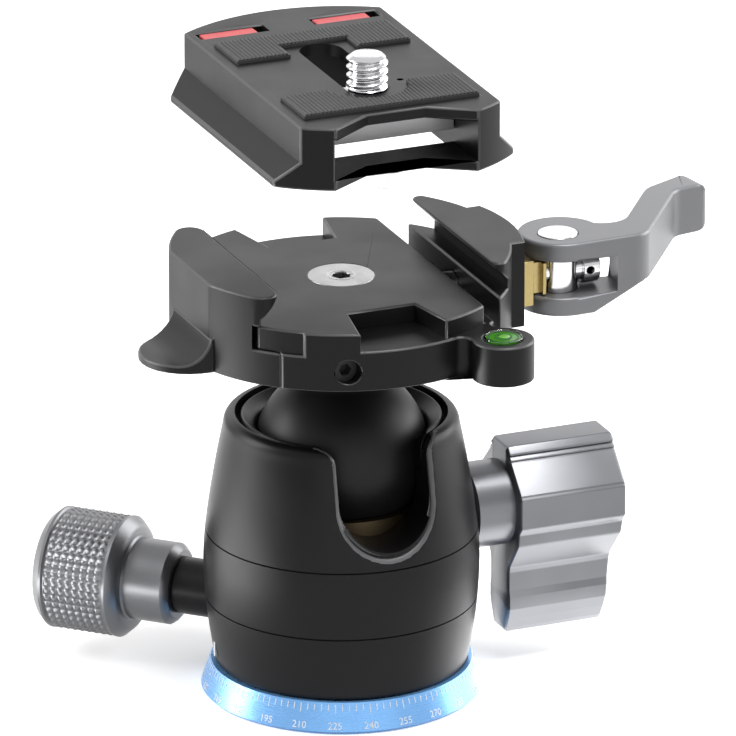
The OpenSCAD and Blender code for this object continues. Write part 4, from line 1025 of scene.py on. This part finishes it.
class HEAD_OT_level(bpy.types.Operator):
    """Round level: clear cup, green fluid, its ring and the bubble"""
    bl_idname = "head.level"
    bl_label = "Level"

    def execute(self, context):
        x, y = middle("level_vial")[:2]
        floor, top = low("level_vial")[2], high("level_vial")[2]
        r = high("level_vial")[0] - x
        wall, bottom, gap = 0.35 * MM, 0.1 * MM, 0.01 * MM
        dome = top - 0.15 * MM
        fluid_r = r - wall
        shell = [(floor, 0), (floor, r), (dome, r), (top, r - 0.12 * MM), (top, fluid_r + 0.1 * MM),
                 (top - 0.1 * MM, fluid_r), (floor + bottom, fluid_r), (floor + bottom, 0)]
        points, faces = turned(shell, 64, origin=(x, y, 0))
        cup = new_piece("level_cup", points, faces, finish("level_glass"))
        keep(cup, "clamp", "level_glass", "level_vial")
        lift = dome - 0.03 * MM
        body = [(floor + bottom + gap, 0), (floor + bottom + gap, fluid_r - gap),
                (dome - 0.12 * MM, fluid_r - gap), (dome - 0.05 * MM, fluid_r - 0.1 * MM),
                (lift, 0)]
        points, faces = turned(body, 64, origin=(x, y, 0))
        green = new_piece("level_dye", points, faces, finish("level_green"))
        keep(green, "clamp", "level_green", "level_fluid")
        proud = 0.03 * MM
        for name, radius, width in (("level_ring", 1.15 * MM, 0.12 * MM),
                                    ("level_rim", 2.2 * MM, 0.1 * MM)):
            line = [(lift, radius - width), (lift + proud, radius - width),
                    (lift + proud, radius + width), (lift, radius + width), (lift, radius - width)]
            points, faces = turned(line, 48, origin=(x, y, 0))
            keep(new_piece(name, points, faces, finish("level_line")), "clamp", "level_green")
        bubble_r, bubble_half, off = 0.85 * MM, 0.06 * MM, (0.35 * MM, 0.2 * MM)
        blob = [(lift + bubble_half * math.cos(a), bubble_r * math.sin(a))
                for a in np.linspace(math.pi, 0, 13)]
        points, faces = turned(blob, 32, origin=(x + off[0], y + off[1], 0))
        keep(new_piece("level_bubble", points, faces, finish("bubble")), "clamp", "level_green")
        return {"FINISHED"}


def tip_cutter(reach, lean=math.radians(10)):
    """Cutter that rounds the upper and lower corner of the lever's free end, seen from its side."""
    ahead = np.array([math.cos(lean), math.sin(lean), 0.0])
    across = np.cross(UP, ahead)
    points = node_points("clamp_lever")
    along = points @ ahead
    end = points[along > along.max() - 2 * MM]
    beyond = 1 * MM
    s0, s1 = (end @ across).min() - beyond, (end @ across).max() + beyond
    parts, faces = [], []
    for z, inward in ((end[:, 2].max(), -UP), (end[:, 2].min(), UP)):
        path = [along.max() * ahead + s * across + z * UP for s in (s0, s1)]
        corners, sides = edge_cutter(path, [inward] * 2, [-ahead] * 2, [reach] * 2)
        shift = sum(len(p) for p in parts)
        parts.append(corners)
        faces += [tuple(k + shift for k in f) for f in sides]
    return np.concatenate(parts), faces


class HEAD_OT_lever(bpy.types.Operator):
    """Cam lever with its saddle, pin and draw bolt"""
    bl_idname = "head.lever"
    bl_label = "Clamp lever"

    def execute(self, context):
        sizes = context.scene.head_sizes
        pin, pin_r = middle("lever_pin"), 3.4 * MM
        bolt_z = middle("draw_bolt")[2]
        fork_half = np.abs(node_points("clamp_lever")[:, 2] - bolt_z).min() + 0.3 * MM

        def lever_edges(mid):
            """No width inside the fork, a third round the pin and all of it elsewhere."""
            if abs(mid[2] - bolt_z) < fork_half:
                return 0.0
            return 0.35 if math.hypot(mid[0] - pin[0], mid[1] - pin[1]) < pin_r else 1.0

        grey = finish("lever_grey")
        lever = copy_of("clamp_lever", grey, width=sizes.lever_edge, weight=lever_edges,
                        cutter=(*tip_cutter(2.4 * MM), grey))
        keep(lever, "lever", "grey_anodised")
        for node, body, look, slot in (
                ("lever_pin", "clamp", "chrome", "chrome"),
                ("draw_bolt", "clamp", "chrome_bolt", "chrome"),
                ("cam_saddle", "jaw", "brass", "brass")):
            keep(copy_of(node, finish(look), width=sizes.small_edge), body, slot)
        return {"FINISHED"}


# ---------------------------------------------------------------- plate


def plate_edges(mid):
    """Full width on the plate's outline, none round the slot and the pockets inside it."""
    margin, foot = 6.5 * MM, 2 * MM
    a, b = low("plate_body"), high("plate_body")
    inside = min(mid[0] - a[0], b[0] - mid[0], mid[1] - a[1], b[1] - mid[1])
    return 0.0 if inside > margin and mid[2] > a[2] + foot else 1.0


class HEAD_OT_plate(bpy.types.Operator):
    """Dovetail plate with its stop pins and inserts"""
    bl_idname = "head.plate"
    bl_label = "Plate"

    def execute(self, context):
        sizes = context.scene.head_sizes
        # The bevels take a lighter black, a painted highlight along the plate's edges.
        body = copy_of("plate_body", finish("black_anodised"), width=sizes.plate_edge,
                       weight=plate_edges, segments=2, edge_material=finish("worn_edge"))
        keep(body, "plate", "black_anodised")
        pins = copy_of("plate_stop_pins", finish("chrome"), width=sizes.small_edge)
        keep(pins, "plate", "chrome")
        insert_edge, block_edge = 0.2 * MM, 0.1 * MM
        inserts = copy_of("strap_inserts", finish("red_rubber"), width=insert_edge)
        keep(inserts, "plate", "red_rubber")
        block = copy_of("slide_block", finish("bright_steel"), width=block_edge)
        keep(block, "screw_slide", "steel")
        return {"FINISHED"}


def rib_bars(spans, pitch, base, top):
    """Half-round bars along Y, one for each (x, y0, y1), each a closed solid of a few faces.

    A bar's section has five points on half an ellipse a little narrower than the pitch and as
    high as top - base.
    """
    spans = np.asarray(spans)
    a = np.radians(np.array([180, 140, 90, 40, 0]))
    half_bar = 0.46 * pitch
    across, rise = half_bar * np.cos(a), (top - base) * np.sin(a)
    x = spans[:, 0, None, None] + across[None, None, :]
    x = np.repeat(x, 2, 1)
    y = np.repeat(spans[:, 1:3, None], 5, 2)
    z = np.broadcast_to(base + rise, x.shape)
    points = np.stack([x, y, z], -1).reshape(-1, 3)
    walls = [(k, (k + 1) % 5, (k + 1) % 5 + 5, k + 5) for k in range(5)]
    bar = walls + [(4, 3, 2, 1, 0), (5, 6, 7, 8, 9)]
    faces = [tuple(10 * n + k for k in face) for n in range(len(spans)) for face in bar]
    return points, faces


class HEAD_OT_pads(bpy.types.Operator):
    """Rubber pads: a slab with fine ribs along the plate"""
    bl_idname = "head.pads"
    bl_label = "Rubber pads"

    def execute(self, context):
        pitch = context.scene.head_sizes.rib_pitch
        rib, sunk, gap, shortest = 0.28 * MM, 0.02 * MM, 0.1 * MM, 0.3 * MM
        screw = middle("camera_screw")
        bite = np.linalg.norm((node_points("front_pad") - screw)[:, :2], axis=1).min()
        rear = node_points("rear_pad")
        inner = rear[np.abs(rear[:, 0]) < high("rear_pad")[0] - 2 * MM]
        notch = np.abs(inner[:, 0]).max(), inner[:, 1].max()
        for node in ("front_pad", "rear_pad"):
            a, b = low(node), high(node)
            top = b[2]
            slab = copy_of(node, finish("pad_rubber"), name=node + "_slab")
            mesh = slab.data
            corners = np.empty(len(mesh.vertices) * 3)
            mesh.vertices.foreach_get("co", corners)
            corners = corners.reshape(-1, 3)
            corners[corners[:, 2] > top - 0.01 * MM, 2] = top - rib
            mesh.vertices.foreach_set("co", corners.ravel())
            mesh.update()
            keep(slab, "plate", "pad_rubber")
            count = int((b[0] - a[0]) / pitch)
            spans = []
            for x in (np.arange(count) - (count - 1) / 2) * pitch:
                y0, y1 = a[1] + gap, b[1] - gap
                if node == "front_pad" and abs(x) < bite:
                    y1 = min(y1, screw[1] - math.sqrt(bite ** 2 - x ** 2) - gap)
                elif node == "rear_pad" and abs(x) < notch[0]:
                    y0 = notch[1] + gap
                if y1 - y0 > shortest:
                    spans.append((x, y0, y1))
            points, faces = rib_bars(spans, pitch, top - rib - sunk, top)
            keep(new_piece(node + "_ribs", points, faces, finish("pad_rubber"), smooth=60),
                 "plate", "pad_rubber", node)
        return {"FINISHED"}


class HEAD_OT_camera_screw(bpy.types.Operator):
    """Camera screw with a real helical thread and its flat head under the plate"""
    bl_idname = "head.camera_screw"
    bl_label = "Camera screw"

    def execute(self, context):
        sizes = context.scene.head_sizes
        a, b = low("camera_screw"), high("camera_screw")
        centre = (a + b) / 2
        thread_r, shank_r, head_r = 3.1 * MM, 2.9 * MM, b[0] - centre[0]
        thread_z = b[2] - 5.0 * MM
        depth, pitch = sizes.thread_depth, sizes.thread_pitch
        foot, edge, head_top = a[2], 0.3 * MM, a[2] + 2.2 * MM
        rows = np.linspace(thread_z, b[2] - 0.35 * MM, 72)
        line = [(foot, 0), (foot, head_r - edge), (foot + edge, head_r), (head_top - edge, head_r),
                (head_top, head_r - edge), (head_top, shank_r), (thread_z - 0.1 * MM, shank_r)]
        start = len(line)
        line += [(z, thread_r) for z in rows]
        stop = len(line)
        line += [(b[2] - 0.05 * MM, thread_r - 0.75 * MM), (b[2], thread_r - 0.9 * MM), (b[2], 0)]
        steep, cut_off = 1.35, 0.18

        def helix(along, angle):
            """Groove that climbs one pitch for each turn and fades in at its lower end."""
            turn = ((along - thread_z) / pitch - angle / (2 * np.pi)) % 1
            dip = np.clip(steep * (1 - np.abs(2 * turn - 1)) - cut_off, 0, 1)
            inside = np.zeros(np.shape(along))
            inside[start:stop] = 1
            fade = np.clip((along - thread_z) / (0.4 * pitch), 0, 1)
            return -depth * dip * inside * fade

        points, faces = turned(line, 96, origin=(centre[0], centre[1], 0), ripple=helix)
        screw = new_piece("camera_screw_thread", points, faces, finish("chrome"), smooth=50)
        keep(screw, "camera_screw", "chrome", "camera_screw")
        return {"FINISHED"}


# ---------------------------------------------------------------- stage


def softbox(name, size, power, place, aim):
    """Rectangular lamp that faces a point."""
    lamp = bpy.data.lights.new(name, "AREA")
    lamp.shape = "RECTANGLE"
    lamp.size, lamp.size_y = size
    lamp.energy = power
    box = bpy.data.objects.new(name, lamp)
    bpy.context.scene.collection.objects.link(box)
    box.location = place
    look_at(box, aim)


def combined(tree, operation, first, second):
    """Two values put together by a maths node's operation."""
    node = tree.nodes.new("ShaderNodeMath")
    node.operation = operation
    tree.links.new(first, node.inputs[0])
    tree.links.new(second, node.inputs[1])
    return node.outputs["Value"]


def card(tree, place, centre, inner, outer, strength):
    """Glow of a round card on the floor, full inside one radius and none past the other, used as a
    painted reflection.
    """
    distance = tree.nodes.new("ShaderNodeVectorMath")
    distance.operation = "DISTANCE"
    distance.inputs[1].default_value = centre
    tree.links.new(place, distance.inputs[0])
    return ranged(tree, distance.outputs["Value"], strength, 0.0, inner, outer)


def seen_by(tree, *kinds):
    """1 for light rays of the named kinds, 0 for the others."""
    path = tree.nodes.new("ShaderNodeLightPath")
    found = path.outputs[kinds[0]]
    for kind in kinds[1:]:
        found = combined(tree, "MAXIMUM", found, path.outputs[kind])
    return found


def chosen(tree, factor, at_zero, at_one):
    """The first value where the factor is 0 and the second where it is 1."""
    mix = tree.nodes.new("ShaderNodeMix")
    mix.data_type = "FLOAT"
    tree.links.new(factor, mix.inputs["Factor"])
    for side, value in (("A", at_zero), ("B", at_one)):
        if isinstance(value, bpy.types.NodeSocket):
            tree.links.new(value, mix.inputs[side])
        else:
            mix.inputs[side].default_value = value
    return mix.outputs["Result"]


def look_at(thing, aim):
    """Turns a lamp or camera so that its -Z axis points at a place."""
    thing.rotation_euler = (Vector(aim) - thing.location).to_track_quat("-Z", "Y").to_euler()


class HEAD_OT_stage(bpy.types.Operator):
    """White floor, soft light and the camera"""
    bl_idname = "head.stage"
    bl_label = "Stage"

    def execute(self, context):
        stage = context.scene.head_stage
        self.add_world(context, stage)
        self.add_floor(stage)
        self.add_lamps(stage)
        self.add_camera(context, stage)
        return {"FINISHED"}

    def add_world(self, context, stage):
        """White to the eye, in gloss and through glass, and a weak light for all else."""
        world = bpy.data.worlds.new("Studio")
        context.scene.world = world
        world.use_nodes = True
        tree = world.node_tree
        light = tree.nodes["Background"]
        light.inputs["Color"].default_value = (1, 1, 1, 1)
        white = seen_by(tree, *WHITE_RAYS)
        tree.links.new(chosen(tree, white, stage.world_light, 1.0), light.inputs["Strength"])

    def add_floor(self, stage):
        """White to the eye, in gloss and through glass. Gloss also shows two glowing cards on it:
        painted reflections, not lamps.
        """
        material, tree, shader, place = node_tree("floor")
        shader.inputs["Roughness"].default_value = 0.9
        shader.inputs["Specular IOR Level"].default_value = 0.0
        white = seen_by(tree, *WHITE_RAYS)
        tree.links.new(chosen(tree, white, stage.floor_grey, stage.floor_white),
                       shader.inputs["Base Color"])
        bumped(tree, shader, noise(tree, place, 400 * MM), 0.01 * MM)
        # Painted reflections: glowing cards that only glossy rays see.
        side = card(tree, place, stage.side_card, 30 * MM, 75 * MM, stage.side_card_light)
        wing = card(tree, place, stage.wing_card, 14 * MM, 32 * MM, stage.wing_card_light)
        cards = combined(tree, "ADD", side, wing)
        in_gloss = chosen(tree, seen_by(tree, "Is Glossy Ray"), 0.0, cards)
        glow = tree.nodes.new("ShaderNodeEmission")
        tree.links.new(
            combined(tree, "ADD", chosen(tree, white, 0.0, stage.floor_glow), in_gloss),
            glow.inputs["Strength"])
        add = tree.nodes.new("ShaderNodeAddShader")
        tree.links.new(shader.outputs["BSDF"], add.inputs[0])
        tree.links.new(glow.outputs["Emission"], add.inputs[1])
        tree.links.new(add.outputs["Shader"], tree.nodes["Material Output"].inputs["Surface"])
        half = 6.0
        mesh = bpy.data.meshes.new("floor")
        mesh.from_pydata([(-half, -half, 0), (half, -half, 0), (half, half, 0), (-half, half, 0)],
                         [], [(0, 1, 2, 3)])
        floor = bpy.data.objects.new("floor", mesh)
        floor.data.materials.append(material)
        bpy.context.scene.collection.objects.link(floor)

    def add_lamps(self, stage):
        """A soft box above, wide panels behind and in front, and a box at either side."""
        def around(angle, distance, height):
            """Place at an angle from the camera's side, a distance from the axis and a height."""
            a = stage.azimuth + math.radians(angle)
            return (distance * math.sin(a), -distance * math.cos(a), height)

        for name, size, watts, place in (
                ("top", (0.26, 0.26), 4.4, (0.095, -0.2, 0.69)),
                ("back", (2.2, 0.6), 3.2, around(180, 1.2, 0.5)),
                ("front", (1.6, 0.3), 2.8, around(12, 1.2, 0.15)),
                ("left", (0.26, 0.5), 3.6, around(-95, 0.5, 0.25)),
                ("right", (0.5, 0.5), 4.2, around(115, 0.6, 0.25))):
            softbox(name, size, watts * stage.lamp_light, place, stage.target)

    def add_camera(self, context, stage):
        """Camera on a sphere round the target, at the lens that the view's width needs."""
        camera = bpy.data.cameras.new("camera")
        camera.sensor_width = 36
        camera.lens = camera.sensor_width * stage.distance / stage.view_width
        camera.clip_start, camera.clip_end = 0.05, 50
        view = bpy.data.objects.new("camera", camera)
        context.scene.collection.objects.link(view)
        a, e, d = stage.azimuth, stage.elevation, stage.distance
        target = np.array(stage.target)
        view.location = target + d * np.array(
            [math.sin(a) * math.cos(e), -math.cos(a) * math.cos(e), math.sin(e)])
        look_at(view, stage.target)
        context.scene.camera = view
        context.scene.view_settings.view_transform = "Standard"


# ---------------------------------------------------------------- add-on


PIECES = (HEAD_OT_base, HEAD_OT_ring_marks, HEAD_OT_housing, HEAD_OT_main_knob, HEAD_OT_pan_knob,
          HEAD_OT_ball, HEAD_OT_clamp, HEAD_OT_level, HEAD_OT_lever, HEAD_OT_plate, HEAD_OT_pads,
          HEAD_OT_camera_screw, HEAD_OT_stage)


class HEAD_PT_pieces(bpy.types.Panel):
    """Sidebar panel with the head's pieces, sizes and colours"""
    bl_idname = "HEAD_PT_pieces"
    bl_label = "Ball Head"
    bl_space_type = "VIEW_3D"
    bl_region_type = "UI"
    bl_category = "Ball Head"

    def draw(self, context):
        for piece in PIECES:
            self.layout.operator(piece.bl_idname, text=piece.bl_label)
        for group_name, _ in GROUPS:
            group = getattr(context.scene, group_name)
            column = self.layout.column()
            for name in group.bl_rna.properties.keys():
                if name not in ("rna_type", "name"):
                    column.prop(group, name)


GROUPS = (("head_sizes", HeadSizes), ("head_colours", HeadColours), ("head_stage", HeadStage))


def register():
    """Registers the settings, the operators and the panel."""
    for name, group in GROUPS:
        bpy.utils.register_class(group)
        setattr(bpy.types.Scene, name, PointerProperty(type=group))
    for cls in PIECES + (HEAD_PT_pieces,):
        bpy.utils.register_class(cls)


def unregister():
    """Takes the settings, the operators and the panel away again."""
    for cls in reversed(PIECES + (HEAD_PT_pieces,)):
        bpy.utils.unregister_class(cls)
    for name, group in reversed(GROUPS):
        delattr(bpy.types.Scene, name)
        bpy.utils.unregister_class(group)


def main():
    """Builds every piece in order."""
    register()
    for piece in PIECES:
        area, name = piece.bl_idname.split(".")
        getattr(getattr(bpy.ops, area), name)()


if __name__ == "__main__":
    main()
